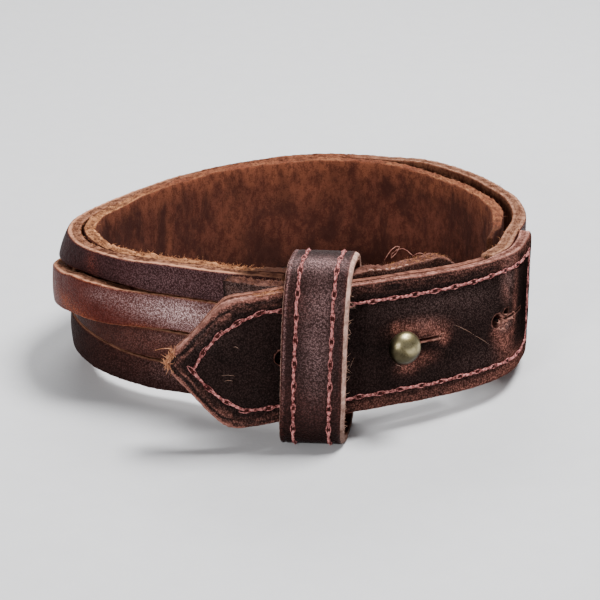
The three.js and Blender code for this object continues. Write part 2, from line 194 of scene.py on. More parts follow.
def waver(x, y, z, size):
    """Slow unevenness of hand-cut leather, about -0.5 to 0.5."""
    return noise.noise(Vector((x, y, z)) / size)


def patches_at(spots, along, up):
    """Soft hills added up. Each is (centre, reach, power)."""
    return sum(power * bump_at(along, up, centre, reach) for centre, reach, power in spots)


def ridge(distance, reach):
    """1 on a line, and softly down to 0 beside it."""
    return math.exp(-(distance / reach) ** 2)


def held(value):
    """Keeps a share within 0 and 1."""
    return max(0.0, min(1.0, value))


def beside_run(start, end, along, up):
    """How far a place is from a straight run, and what share of the run lies before it."""
    run = Vector((end[0] - start[0], end[1] - start[1]))
    share = held(((along - start[0]) * run.x + (up - start[1]) * run.y) / run.length_squared)
    return math.hypot(along - start[0] - run.x * share, up - start[1] - run.y * share), share


def eased(rows, column):
    """A smooth line through a table's column that never swings past its rows."""
    places = [row[0] for row in rows]
    steps = [b[0] - a[0] for a, b in zip(rows, rows[1:])]
    rates = [(b[column] - a[column]) / step for a, b, step in zip(rows, rows[1:], steps)]
    slopes = [0.0]
    for before, after in zip(rates, rates[1:]):
        slopes.append(2 * before * after / (before + after) if before * after > 0 else 0.0)
    slopes.append(0.0)

    def value(at):
        i = max(0, min(len(steps) - 1, bisect.bisect_left(places, at) - 1))
        t = max(0.0, min(1.0, (at - places[i]) / steps[i]))
        ease = t * t * (3 - 2 * t)
        swing = t * (1 - t) * ((1 - t) * slopes[i] - t * slopes[i + 1]) * steps[i]
        return rows[i][column] * (1 - ease) + rows[i + 1][column] * ease + swing
    return value


def straight(rows):
    """Straight lines through a two-column table, level past its end."""
    def value(at):
        for (a, low), (b, high) in zip(rows, rows[1:]):
            if at <= b:
                return low + (high - low) * max(0.0, at - a) / (b - a)
        return rows[-1][1]
    return value


class PlanLine:
    """A smooth curve in plan through a few points, walked by its length."""

    def __init__(self, points, steps=40):
        self.dots = []
        for i in range(len(points) - 1):
            near, far = Vector(points[i]), Vector(points[i + 1])
            before = Vector(points[i - 1]) if i else near * 2 - far
            after = Vector(points[i + 2]) if i + 2 < len(points) else far * 2 - near
            gaps = [math.sqrt((b - a).length) for a, b in ((before, near), (near, far), (far, after))]
            leave = (near - before) / gaps[0] - (far - before) / (gaps[0] + gaps[1]) + (far - near) / gaps[1]
            arrive = (far - near) / gaps[1] - (after - near) / (gaps[1] + gaps[2]) + (after - far) / gaps[2]
            leave, arrive = leave * gaps[1], arrive * gaps[1]
            for k in range(steps):
                t = k / steps
                self.dots.append(
                    near + leave * t
                    + (far * 3 - near * 3 - leave * 2 - arrive) * t ** 2
                    + (near * 2 - far * 2 + leave + arrive) * t ** 3
                )
        self.dots.append(Vector(points[-1]))
        self.walked = [0.0]
        for a, b in zip(self.dots, self.dots[1:]):
            self.walked.append(self.walked[-1] + (b - a).length)
        self.length = self.walked[-1]

    def at(self, along):
        """The point there, and the way outward."""
        i = max(0, min(len(self.dots) - 2, bisect.bisect_right(self.walked, along) - 1))
        step = self.dots[i + 1] - self.dots[i]
        way = step.normalized()
        point = self.dots[i] + way * (along - self.walked[i])
        # the way outward turns smoothly from one short piece of the curve to the next
        last = self.dots[max(0, i - 1) + 1] - self.dots[max(0, i - 1)]
        following = self.dots[min(len(self.dots) - 2, i + 1) + 1] - self.dots[min(len(self.dots) - 2, i + 1)]
        share = (along - self.walked[i]) / step.length
        turn = (last.normalized() * (1 - share) + way + following.normalized() * share).normalized()
        return point, Vector((-turn.y, turn.x))

    def ways(self, along):
        """Level outward and level onward there."""
        _, outward = self.at(along)
        return Vector((outward.x, outward.y, 0)), Vector((outward.y, -outward.x, 0))

    def spot(self, along, out, up):
        point, outward = self.at(along)
        return Vector((point.x + outward.x * out, point.y + outward.y * out, up))


LINER_LINE = PlanLine(LINER_PLAN)
BAND_LINE = PlanLine(BAND_PLAN)
STRAP_LINE = PlanLine(STRAP_PLAN)
TONGUE_LINE = PlanLine(TONGUE_PLAN)
HOLES_AT = [STRAP_LINE.length - HOLE_FIRST - index * HOLE_PITCH for index in range(3)]
STUD_AT, THIRD_HOLE_AT = HOLES_AT[1:]


# ------------------------------------------------------------------ leather blanks
def section_walk(cells):
    """Once round a strip's section, in steps of (stretch, share of it, raw-edge mark, flesh mark)."""
    face, rim, back = cells
    corner = [k / CORNER_STEPS for k in range(CORNER_STEPS)]
    walk = [("face", k / face, 0.0, 0.0) for k in range(face)]
    walk += [("high_out", share, share, 0.0) for share in corner]
    walk += [("top", k / rim, 1.0, k / rim) for k in range(rim)]
    walk += [("high_in", share, 1 - share, 1.0) for share in corner]
    walk += [("back", k / back, 0.0, 1.0) for k in range(back)]
    walk += [("low_in", share, share, 1.0) for share in corner]
    walk += [("foot", k / rim, 1.0, 1 - k / rim) for k in range(rim)]
    walk += [("low_out", share, 1 - share, 0.0) for share in corner]
    return walk + [walk[0]]


def on_section(kind, share, inner, outer, low, high, soft):
    """Where a step of section_walk falls: out from the curve, and up."""
    turn = share * math.pi / 2
    dip, rise = soft * math.sin(turn), soft * math.cos(turn)
    if kind == "face":
        return outer, low + soft + (high - low - 2 * soft) * share
    if kind == "high_out":
        return outer - soft + rise, high - soft + dip
    if kind == "top":
        return outer - soft - (outer - inner - 2 * soft) * share, high
    if kind == "high_in":
        return inner + soft - dip, high - soft + rise
    if kind == "back":
        return inner, high - soft - (high - low - 2 * soft) * share
    if kind == "low_in":
        return inner + soft - rise, low + soft - dip
    if kind == "foot":
        return inner + soft + (outer - inner - 2 * soft) * share, low
    return outer - soft + dip, low + soft - rise


# dark carries painted shade; the last mark carries a painted sheen on the grain's tops.
MARKS = ("cut", "flesh", "worn", "dark", "plain", "bloom")
HIDE_SCALE = 0.1                    # the leather's own grid is in centimetres


def bend_blank(stations, walk, put, ring=False):
    """Cuts a flat grid of leather and bends every crossing of it to where put says.

    put(along, step) gives the place in mm, and values for some of MARKS.
    A ring closes on itself; anything else gets a cut end at both ends.
    """
    rows, round_about = len(stations) - 1, len(walk) - 1
    bm = bmesh.new()
    bmesh.ops.create_grid(bm, x_segments=rows, y_segments=round_about, size=1.0)
    marks = {mark: bm.verts.layers.float.new(mark) for mark in MARKS}
    sheet = bm.loops.layers.uv.new("hide")
    crossing, bent = {}, {}
    for v in bm.verts:
        i, j = round((v.co.x + 1) / 2 * rows), round((v.co.y + 1) / 2 * round_about)
        place, values = put(stations[i], walk[j])
        crossing[v], bent[v] = (i, j), place
        for mark, value in values.items():
            v[marks[mark]] = value
    across = [0.0]
    middle_row = {crossing[v][1]: bent[v] for v in bm.verts if crossing[v][0] == rows // 2}
    for j in range(round_about):
        across.append(across[-1] + (middle_row[j + 1] - middle_row[j]).length)
    for f in bm.faces:
        for corner in f.loops:
            i, j = crossing[corner.vert]
            corner[sheet].uv = (stations[i] * HIDE_SCALE, across[j] * HIDE_SCALE)
    for v, place in bent.items():
        v.co = place
    bmesh.ops.remove_doubles(bm, verts=bm.verts, dist=0.0005)
    if not ring:
        open_edges = [e for e in bm.edges if e.is_boundary]
        bmesh.ops.holes_fill(bm, edges=open_edges, sides=0)
    bmesh.ops.recalc_face_normals(bm, faces=bm.faces)
    return bm


def roughen(bm, amount, size, seed):
    """Pushes the raw edges in and out a little, as torn fibres leave them."""
    bm.normal_update()
    cut = bm.verts.layers.float["cut"]
    shift = Vector((seed * 17.3, seed * 5.1, seed * 9.7))
    for v in bm.verts:
        if v[cut] > 0.01:
            swing = noise.noise(v.co / size + shift) + 0.6 * noise.noise(v.co / (size * 0.4) + shift)
            v.co += v.normal * swing * amount * v[cut]


def lay_down(bm):
    """From the upright bracelet in mm to the resting one in metres, flat where it meets the table."""
    bmesh.ops.transform(bm, matrix=TO_REST, verts=bm.verts)
    for v in bm.verts:
        v.co.z = max(v.co.z, TABLE_GAP)


def finish_piece(bm, name, finish, nodes=()):
    """Makes a shape a piece of the bracelet, with its finish and the nodes that it stands for."""
    mesh = bpy.data.meshes.new(name)
    bm.to_mesh(mesh)
    bm.free()
    register(mesh, name, finish, nodes)


def register(mesh, name, finish, nodes=()):
    mesh.shade_smooth()
    mesh.materials.append(PALETTE[finish])
    piece = bpy.data.objects.new(name, mesh)
    bpy.context.scene.collection.objects.link(piece)
    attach(piece, "root")
    if nodes:
        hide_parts(*nodes)


def even_stations(start, end, step):
    """Stations along a strip, close together at its two ends where the cut end is softened."""
    ends = [0.0, 0.03, 0.1, 0.2, END_SOFT]
    count = max(2, round((end - start - 2 * END_SOFT) / step))
    middle = [start + END_SOFT + (end - start - 2 * END_SOFT) * k / count for k in range(1, count)]
    return [start + e for e in ends] + middle + [end - e for e in reversed(ends)]


def softened(reach, soft):
    """How far a strip draws in close to its cut end."""
    if reach >= soft:
        return 0.0
    return soft - math.sqrt(max(0.0, soft * soft - (soft - reach) ** 2))


def strip(line, stations, section, cells, relief=None, paint=None, joined=(False, False)):
    """A strip of leather bent along a plan line. section(along) gives inner, outer, low, high, lean.

    joined says which of its two ends run on into another strip, and so keep square corners.
    """
    first, last = stations[0], stations[-1]

    def put(along, step):
        kind, share, cut, flesh = step
        inner, outer, low, high, lean = section(along)
        soft = min(CORNER_SOFT, (outer - inner) / 3.2, (high - low) / 4)
        reach = min(math.inf if joined[0] else along - first, math.inf if joined[1] else last - along)
        drawn = softened(reach, min(END_SOFT, (outer - inner) / 3))
        inner, outer = inner + drawn, outer - drawn
        out, up = on_section(kind, share, inner, outer, low + drawn, high - drawn, soft)
        cut = max(cut, 1 - between(0.08, END_SOFT, reach))
        if relief:
            out += relief(along, up, flesh)
        values = paint(along, up, flesh) if paint else {}
        out += lean * (high - up) / (high - low)
        values.update({"cut": max(cut, values.get("cut", 0.0)), "flesh": flesh})
        return line.spot(along, out, up), values

    return bend_blank(stations, section_walk(cells), put)


# ------------------------------------------------------------------ shader helpers
def shade(tree, kind, settings=None, wires=None):
    """One node with its settings, and each input given a value or joined to another node."""
    step = tree.nodes.new(kind)
    for key, value in (settings or {}).items():
        setattr(step, key, value)
    for key, value in (wires or {}).items():
        if isinstance(value, bpy.types.NodeSocket):
            tree.links.new(value, step.inputs[key])
        else:
            step.inputs[key].default_value = value
    return step


def reckon(tree, operation, a, b=0.0, c=0.0, clamp=False):
    """Arithmetic on numbers."""
    settings = {"operation": operation, "use_clamp": clamp}
    return shade(tree, "ShaderNodeMath", settings, {0: a, 1: b, 2: c}).outputs[0]


def reckon_place(tree, operation, *places):
    """Arithmetic on places."""
    return shade(tree, "ShaderNodeVectorMath", {"operation": operation}, dict(enumerate(places))).outputs[0]


def as_place(tree, x, y, z):
    return shade(tree, "ShaderNodeCombineXYZ", None, {0: x, 1: y, 2: z}).outputs[0]


def blend(tree, mask, a, b):
    """a where the mask is 0, b where it is 1: colours."""
    step = shade(tree, "ShaderNodeMix", {"data_type": "RGBA"}, {0: mask, 6: a, 7: b})
    return step.outputs[2]


def blend_value(tree, mask, a, b):
    return shade(tree, "ShaderNodeMix", None, {0: mask, 2: a, 3: b}).outputs[0]


def span(tree, value, low, high, to_low=0.0, to_high=1.0):
    """Spreads low..high over to_low..to_high, eased and held at both ends."""
    settings = {"interpolation_type": "SMOOTHSTEP"}
    wires = {0: value, 1: low, 2: high, 3: to_low, 4: to_high}
    return shade(tree, "ShaderNodeMapRange", settings, wires).outputs[0]


def cloud(tree, where, size, detail=3.0, rough=0.5, stretch=None, swirl=0.0):
    """Noise with blotches `size` metres across, or as many to the metre as a socket says."""
    if stretch:
        where = shade(tree, "ShaderNodeMapping", None, {"Vector": where, "Scale": stretch}).outputs[0]
    wires = {"Vector": where, "Scale": 1 / size if isinstance(size, float) else size,
             "Detail": detail, "Roughness": rough, "Distortion": swirl}
    return shade(tree, "ShaderNodeTexNoise", None, wires).outputs[0]


def cells(tree, where, scale, smooth):
    """Round cells, `scale` of them to the metre."""
    wires = {"Vector": where, "Scale": scale, "Smoothness": smooth}
    return shade(tree, "ShaderNodeTexVoronoi", {"feature": "SMOOTH_F1"}, wires).outputs[0]


def mark(tree, name):
    return shade(tree, "ShaderNodeAttribute", {"attribute_name": name}).outputs["Fac"]


def place_of(tree):
    return shade(tree, "ShaderNodeTexCoord").outputs["Object"]


def along_hide(tree):
    """Where on the cut strip a point is: x along it, y across, in centimetres of leather."""
    return shade(tree, "ShaderNodeUVMap", {"uv_map": "hide"}).outputs[0]


class Recipe:
    """A shader group with named inputs and outputs, built once and placed in many materials."""

    def __init__(self, name, inputs, outputs):
        self.tree = bpy.data.node_groups.new(name, "ShaderNodeTree")
        for key, value in inputs.items():
            socket = self.tree.interface.new_socket(name=key, in_out="INPUT", socket_type="NodeSocketFloat")
            socket.default_value = value
        for key in outputs:
            self.tree.interface.new_socket(name=key, in_out="OUTPUT", socket_type="NodeSocketFloat")
        self.taken = self.tree.nodes.new("NodeGroupInput").outputs
        self.given = self.tree.nodes.new("NodeGroupOutput").inputs

    def give(self, key, value):
        self.tree.links.new(value, self.given[key])

    def use(self, tree, **wires):
        return shade(tree, "ShaderNodeGroup", {"node_tree": self.tree}, wires).outputs


# ------------------------------------------------------------------ shared effects
def hide_grain():
    """The pebbled grain of the leather's face: small raised dots, fine pores and soft puckers."""
    recipe = Recipe("hide_grain", {"Grain": 3400.0, "Pucker": 0.5}, ["Height", "Tops", "Specks"])
    t = recipe.tree
    where = place_of(t)
    warp = cloud(t, where, 0.0009, 2.0)
    bent = reckon_place(t, "MULTIPLY_ADD", as_place(t, warp, warp, warp), (0.0003, 0.0003, 0.0003), where)
    pebbles = cells(t, bent, recipe.taken["Grain"], 0.2)
    pores = cloud(t, where, 0.00016, 3.0, 0.75)
    pucker = cloud(t, where, 0.0015, 3.0, 0.6)
    height = reckon(t, "MULTIPLY_ADD", pores, 0.9, reckon(t, "SUBTRACT", 1.0, pebbles))
    height = reckon(t, "MULTIPLY_ADD", pucker, recipe.taken["Pucker"], height)
    recipe.give("Height", height)
    recipe.give("Tops", span(t, pebbles, 0.6, 0.25))
    recipe.give("Specks", span(t, reckon(t, "MULTIPLY_ADD", pebbles, -0.2, pores), 0.36, 0.52))
    return recipe


def hide_mottle():
    """Slow changes of tone where dye and wax went in unevenly, with finer cloudiness on top."""
    recipe = Recipe("hide_mottle", {"Spread": 0.5}, ["Broad", "Fine"])
    t = recipe.tree
    where = place_of(t)
    recipe.give("Broad", span(t, cloud(t, where, 0.006, 4.0, 0.6, swirl=0.6), 0.32, 0.68))
    fine = cloud(t, where, 0.0009, 4.0, 0.65)
    low = reckon(t, "SUBTRACT", 0.5, reckon(t, "MULTIPLY", recipe.taken["Spread"], 0.5))
    high = reckon(t, "ADD", 0.5, reckon(t, "MULTIPLY", recipe.taken["Spread"], 0.5))
    recipe.give("Fine", span(t, fine, low, high))
    return recipe


def raw_edge():
    """Where a strip shows its cut edge, with a ragged border, and the worn corner beside it."""
    recipe = Recipe("raw_edge", {"Cut": 0.0, "Ragged": 0.35}, ["Edge", "Corner"])
    t = recipe.tree
    torn = cloud(t, place_of(t), 0.0005, 3.0, 0.7)
    shifted = reckon(t, "MULTIPLY_ADD", reckon(t, "SUBTRACT", torn, 0.5), recipe.taken["Ragged"],
                     recipe.taken["Cut"])
    recipe.give("Edge", span(t, shifted, 0.45, 0.75))
    recipe.give("Corner", span(t, shifted, 0.05, 0.4))
    return recipe


def cut_fibre():
    """Matted fibres of cut leather, running along the strip."""
    recipe = Recipe("cut_fibre", {"Stretch": 0.22}, ["Height", "Tone", "Lumps"])
    t = recipe.tree
    drawn = reckon_place(t, "MULTIPLY", along_hide(t), as_place(t, recipe.taken["Stretch"], 1.0, 1.0))
    strands = cloud(t, drawn, 0.034, 5.0, 0.72, swirl=1.6)
    lumps = cloud(t, place_of(t), 0.0004, 3.0, 0.7)
    clumps = cloud(t, place_of(t), 0.0016, 4.0, 0.65)
    recipe.give("Height", reckon(t, "MULTIPLY_ADD", lumps, 1.1, strands))
    mixed = reckon(t, "MULTIPLY_ADD", lumps, 0.55, reckon(t, "MULTIPLY_ADD", clumps, 0.7, strands))
    recipe.give("Tone", span(t, mixed, 0.95, 1.27))
    recipe.give("Lumps", clumps)
    return recipe


def suede_nap():
    """The brushed flesh side: short nap, flecks, and smudges where it lies flat."""
    recipe = Recipe("suede_nap", {"Nap": 1 / 0.00026}, ["Height", "Tone", "Smudges"])
    t = recipe.tree
    where = place_of(t)
    nap = cloud(t, where, recipe.taken["Nap"], 3.0, 0.75)
    flecks = cloud(t, where, 0.0011, 4.0, 0.7, stretch=(1.0, 1.0, 0.62))
    smudges = cloud(t, where, 0.0044, 6.0, 0.68, stretch=(1.0, 1.0, 0.6), swirl=0.5)
    recipe.give("Height", reckon(t, "MULTIPLY_ADD", flecks, 0.6, nap))
    recipe.give("Tone", span(t, reckon(t, "MULTIPLY_ADD", nap, 0.7, flecks), 0.66, 1.06))
    recipe.give("Smudges", span(t, smudges, 0.4, 0.6))
    return recipe


GRAIN = hide_grain()
MOTTLE = hide_mottle()
RAW = raw_edge()
FIBRE = cut_fibre()
NAP = suede_nap()


# ------------------------------------------------------------------ materials
def tint(red, green, blue):
    return (red, green, blue, 1.0)


def new_material(name):
    material = bpy.data.materials.new(name)
    material.use_nodes = True
    tree = material.node_tree
    return material, tree, tree.nodes["Principled BSDF"]


def plant(tree, bsdf, colour, rough, height, depth):
    """Joins a finish to its shader: colour, roughness, and relief of a depth in metres."""
    tree.links.new(colour, bsdf.inputs["Base Color"])
    tree.links.new(rough, bsdf.inputs["Roughness"])
    wires = {"Height": height, "Distance": depth, "Strength": 1.0}
    relief = shade(tree, "ShaderNodeBump", None, wires)
    tree.links.new(relief.outputs[0], bsdf.inputs["Normal"])


def darker(colour, share):
    return tint(*(part * share for part in colour[:3]))


RIM, RIM_LIGHT = tint(0.042, 0.014, 0.008), tint(0.4, 0.19, 0.115)
FLESH, FLESH_LIGHT = tint(0.06, 0.018, 0.011), tint(0.14, 0.055, 0.03)
PLAIN_FACE, PLAIN_FACE_LIGHT = tint(0.022, 0.007, 0.006), tint(0.046, 0.014, 0.012)
PLAIN_RIM, PLAIN_RIM_LIGHT = tint(0.04, 0.012, 0.007), tint(0.17, 0.062, 0.034)


def face_tone(t, grained, mottle, corner, face, face_light, worn, bloom, even_sheen):
    """The colour of a grained face, and how worn it is: dye, pull-up wear, valleys, and a painted sheen."""
    tone = blend(t, reckon(t, "MULTIPLY", mottle["Broad"], 0.7), face, face_light)
    tone = blend(t, reckon(t, "MULTIPLY", mottle["Fine"], 0.3), tone, face_light)
    broken = reckon(t, "MULTIPLY_ADD", mottle["Fine"], 0.55, reckon(t, "MULTIPLY", grained["Specks"], 0.7))
    wear = reckon(t, "MULTIPLY", mark(t, "worn"), span(t, broken, 0.15, 1.0, 0.2, 1.2), clamp=True)
    tone = blend(t, wear, tone, worn)
    tone = blend(t, reckon(t, "MULTIPLY", corner, 0.5), tone, worn)
    valleys = reckon(t, "MULTIPLY", reckon(t, "SUBTRACT", 1.0, grained["Tops"]), 0.45)
    tone = blend(t, valleys, tone, darker(face, 0.3))
    # painted sheen: pale colour on the grain's tops where the sheen mark lies, and a little all over
    tops = reckon(t, "MULTIPLY_ADD", grained["Specks"], 0.85, 0.1)
    sheen_mask = reckon(t, "MULTIPLY", reckon(t, "ADD", mark(t, "bloom"), even_sheen), tops, clamp=True)
    tone = blend(t, sheen_mask, tone, bloom)
    return blend(t, mark(t, "plain"), tone, blend(t, mottle["Fine"], PLAIN_FACE, PLAIN_FACE_LIGHT)), wear


def rim_tone(t, fibre, rim, rim_light, plain, plain_light, lips, corners, streaks, hollows):
    """The colour of a cut rim: streaks and patches of fibre, with a painted highlight along its outer and
    inner corner.

    The two highlight strengths say how much paler the two corners are painted. corners: where across the rim
    they end and begin.
    """
    across = mark(t, "flesh")
    outer_end, inner_start, inner_end = corners
    outer_highlight = span(t, across, 0.3, outer_end, 0.0, lips[0])
    inner_highlight = span(t, across, inner_start, inner_end, 0.0, lips[1])
    paler = reckon(t, "MULTIPLY_ADD", fibre["Tone"], streaks, reckon(t, "ADD", outer_highlight, inner_highlight))
    paler = reckon(t, "MULTIPLY", paler, span(t, fibre["Lumps"], 0.3, 0.6, hollows, 1.15), clamp=True)
    plain_tone = blend(t, fibre["Tone"], plain, plain_light)
    return blend(t, mark(t, "plain"), blend(t, paler, rim, rim_light), plain_tone)


# Painted shade: darkens a colour toward deep where the dark mark lies.
def shadowed(t, tone, deep):
    return blend(t, reckon(t, "MULTIPLY", mark(t, "dark"), 0.9, clamp=True), tone, deep)


def leather(name, face, face_light, worn, rim=RIM, rim_light=RIM_LIGHT, grain=3400.0, gloss=0.42,
            lips=(0.6, 0.15), shine=0.15, bloom=tint(0.27, 0.15, 0.14), even_sheen=0.16):
    """Waxed leather: a grained face, a raw cut rim, and a napped flesh side.

    The last two: the colour of a painted sheen on the tops of the grain, and how much of that painted sheen
    lies all over.
    """
    material, t, bsdf = new_material(name)
    grained = GRAIN.use(t, Grain=grain, Pucker=0.3)
    mottle = MOTTLE.use(t, Spread=0.42)
    fibre = FIBRE.use(t)
    nap = NAP.use(t)
    edge = RAW.use(t, Cut=mark(t, "cut"), Ragged=0.45)
    tone, wear = face_tone(t, grained, mottle, edge["Corner"], face, face_light, worn, bloom, even_sheen)
    rims = rim_tone(t, fibre, rim, rim_light, PLAIN_RIM, PLAIN_RIM_LIGHT, lips, (0.08, 0.78, 0.97),
                    0.42, 0.55)
    inside = span(t, mark(t, "flesh"), 0.5, 0.8)
    tone = blend(t, inside, tone, blend(t, nap["Tone"], FLESH, FLESH_LIGHT))
    tone = blend(t, edge["Edge"], tone, rims)
    tone = shadowed(t, tone, darker(face, 0.22))
    raw = reckon(t, "MAXIMUM", edge["Edge"], inside)
    dull = blend_value(t, mottle["Fine"], gloss - 0.05, gloss + 0.09)
    dull = blend_value(t, wear, dull, gloss + 0.06)
    rough = blend_value(t, raw, dull, 0.92)
    height = blend_value(t, raw, grained["Height"], fibre["Height"])
    plant(t, bsdf, tone, rough, height, 0.00012)
    bsdf.inputs["Specular IOR Level"].default_value = shine
    bsdf.inputs["Specular Tint"].default_value = tint(1.0, 0.74, 0.7)
    return material


def suede(name, deep, light, ember, rim, rim_light, smudge, lips=(0.1, 0.5)):
    """Undyed suede: nap on its faces and a shaggy cut rim. ember: the warmer tone near its rim."""
    material, t, bsdf = new_material(name)
    nap = NAP.use(t)
    fibre = FIBRE.use(t)
    edge = RAW.use(t, Cut=mark(t, "cut"), Ragged=0.7)
    tone = blend(t, nap["Tone"], deep, light)
    tone = blend(t, reckon(t, "MULTIPLY", nap["Smudges"], 0.8), tone, smudge)
    # in the liner this mask holds worn patches and a painted pool of light near the rim
    lit_rim_and_wear = reckon(t, "MULTIPLY", mark(t, "worn"), span(t, nap["Tone"], 0.0, 0.8, 0.35, 1.1), clamp=True)
    tone = blend(t, lit_rim_and_wear, tone, ember)
    rims = rim_tone(t, fibre, rim, rim_light, darker(ember, 0.45), ember, lips, (0.05, 0.75, 1.0), 0.6, 0.5)
    tone = blend(t, edge["Edge"], tone, rims)
    tone = shadowed(t, tone, darker(deep, 0.3))
    rough = blend_value(t, nap["Tone"], 0.97, 0.9)
    height = blend_value(t, edge["Edge"], nap["Height"], fibre["Height"])
    plant(t, bsdf, tone, rough, height, 0.00016)
    bsdf.inputs["Specular IOR Level"].default_value = 0.1
    return material


def brass(name):
    """Antique brass: worn bright over an olive-brown patina, with small dents, and painted shade where the
    dark mark lies.
    """
    material, t, bsdf = new_material(name)
    where = place_of(t)
    patina = span(t, cloud(t, where, 0.0014, 5.0, 0.65, swirl=0.5), 0.42, 0.66)
    specks = span(t, cloud(t, where, 0.0003, 3.0, 0.6), 0.56, 0.7)
    tone = blend(t, patina, tint(0.42, 0.36, 0.2), tint(0.17, 0.14, 0.07))
    tone = blend(t, reckon(t, "MULTIPLY", specks, 0.5), tone, tint(0.035, 0.027, 0.012))
    # painted shade where the dark mark lies
    tone = blend(t, reckon(t, "MULTIPLY", mark(t, "dark"), 0.93), tone, tint(0.03, 0.024, 0.013))
    rough = blend_value(t, patina, 0.33, 0.46)
    dents = reckon(t, "MULTIPLY_ADD", cloud(t, where, 0.0004, 2.0), 0.3, cloud(t, where, 0.0012, 3.0))
    plant(t, bsdf, tone, rough, dents, 0.00002)
    bsdf.inputs["Metallic"].default_value = 1.0
    return material


def sewing_thread(name, pale, deep):
    """Waxed twisted thread, its pale and deep tones mixed in small blotches."""
    material, t, bsdf = new_material(name)
    where = place_of(t)
    twist = cloud(t, where, 0.00022, 2.0, 0.6)
    tone = blend(t, span(t, cloud(t, where, 0.0005, 4.0, 0.7), 0.38, 0.6), deep, pale)
    rough = span(t, twist, 0.3, 0.7, 0.6, 0.85)
    plant(t, bsdf, tone, rough, twist, 0.0001)
    bsdf.inputs["Specular IOR Level"].default_value = 0.1
    return material


def plain_floor(name):
    material, t, bsdf = new_material(name)
    where = place_of(t)
    tone = blend(t, cloud(t, where, 0.004, 3.0), tint(0.5, 0.5, 0.51), tint(0.54, 0.54, 0.55))
    grain = cloud(t, where, 0.0007, 2.0)
    plant(t, bsdf, tone, span(t, grain, 0.3, 0.7, 0.75, 0.85), grain, 0.00003)
    return material


# The pale sheen colour given to each leather below is a painted highlight.
PALETTE = {
    "strap": leather(
        "strap_leather", tint(0.0050, 0.0037, 0.0034), tint(0.0120, 0.0062, 0.0056), tint(0.34, 0.126, 0.094),
        tint(0.055, 0.019, 0.0145), tint(0.40, 0.19, 0.15), grain=3300.0, gloss=0.55, lips=(0.35, 0.45),
        shine=0.0, bloom=tint(0.18, 0.108, 0.098), even_sheen=0.13),
    "top": leather(
        "top_strand_leather", tint(0.016, 0.0052, 0.0052), tint(0.034, 0.0105, 0.0105),
        tint(0.115, 0.025, 0.016), lips=(0.8, 0.1), shine=0.012, bloom=tint(0.3, 0.165, 0.17), even_sheen=0.08),
    "crossing": leather(
        "crossing_strand_leather", tint(0.058, 0.0085, 0.0055), tint(0.092, 0.0165, 0.0105),
        tint(0.24, 0.052, 0.016), gloss=0.36, shine=0.03, bloom=tint(0.8, 0.56, 0.55), even_sheen=0.02),
    "under": leather(
        "under_strand_leather", tint(0.021, 0.0058, 0.0042), tint(0.044, 0.0125, 0.009),
        tint(0.13, 0.036, 0.024), rim_light=tint(0.27, 0.13, 0.08), shine=0.03, even_sheen=0.06),
    "bottom": leather(
        "bottom_strand_leather", tint(0.0085, 0.0035, 0.0030), tint(0.02, 0.0066, 0.0056),
        tint(0.085, 0.026, 0.018), rim_light=tint(0.2, 0.095, 0.06), shine=0.006, even_sheen=0.09),
    "band": leather(
        "band_leather", PLAIN_FACE, PLAIN_FACE_LIGHT, tint(0.12, 0.03, 0.02),
        tint(0.055, 0.02, 0.0115), tint(0.33, 0.165, 0.105), lips=(0.4, 0.3), shine=0.03, even_sheen=0.02),
    "keeper": leather(
        "keeper_leather", tint(0.0085, 0.0033, 0.0028), tint(0.02, 0.0062, 0.0052), tint(0.12, 0.034, 0.026),
        tint(0.16, 0.075, 0.052), tint(0.56, 0.35, 0.28), grain=3000.0, gloss=0.36, lips=(0.5, 0.1),
        shine=0.055, bloom=tint(0.4, 0.235, 0.23), even_sheen=0.05),
    "tongue": leather(
        "tongue_leather", tint(0.011, 0.0046, 0.0038), tint(0.022, 0.008, 0.0066), tint(0.07, 0.024, 0.014),
        tint(0.045, 0.0155, 0.0115), tint(0.26, 0.118, 0.088), gloss=0.5, lips=(0.2, 0.2), shine=0.04,
        bloom=tint(0.36, 0.22, 0.2)),
    "liner": suede(
        "liner_suede", tint(0.046, 0.0125, 0.0078), tint(0.105, 0.031, 0.018), tint(0.165, 0.05, 0.025),
        tint(0.07, 0.023, 0.0105), tint(0.45, 0.2, 0.09), tint(0.028, 0.0085, 0.006)),
    "lining": suede(
        "lining_suede", tint(0.07, 0.02, 0.013), tint(0.14, 0.05, 0.028), tint(0.2, 0.075, 0.04),
        tint(0.055, 0.017, 0.0115), tint(0.3, 0.125, 0.085), tint(0.04, 0.013, 0.009), lips=(0.1, 0.3)),
    "brass": brass("antique_brass"),
    "thread": sewing_thread("waxed_thread", tint(0.52, 0.2, 0.185), tint(0.07, 0.012, 0.011)),
    # dark dimples: painted shade standing in for the awl holes
    "hole_shade": sewing_thread("awl_hole_shade", tint(0.05, 0.008, 0.006), tint(0.014, 0.003, 0.0025)),
    "fibre": sewing_thread("loose_fibre", tint(0.44, 0.19, 0.085), tint(0.16, 0.05, 0.02)),
    "tuft": sewing_thread("matted_tuft", tint(0.52, 0.24, 0.125), tint(0.16, 0.052, 0.024)),
    "mat": sewing_thread("matted_fibre", tint(0.2, 0.08, 0.048), tint(0.06, 0.019, 0.012)),
    "dash": sewing_thread("pale_thread", tint(0.5, 0.29, 0.22), tint(0.24, 0.09, 0.065)),
    "hair": sewing_thread("fine_hair", tint(0.5, 0.32, 0.25), tint(0.3, 0.15, 0.1)),
    "torn": sewing_thread("torn_edge", tint(0.42, 0.2, 0.15), tint(0.14, 0.042, 0.03)),
    "floor": plain_floor("pale_floor"),
}


# ------------------------------------------------------------------ camera, light and floor
CAMERA_AIM = Vector((1.36, -11.43, 13.05)) * 0.001
CAMERA_RISE = math.radians(24.28)
CAMERA_DISTANCE = 0.309
LIGHTS_AIM = Vector((0, 0, 0.012))
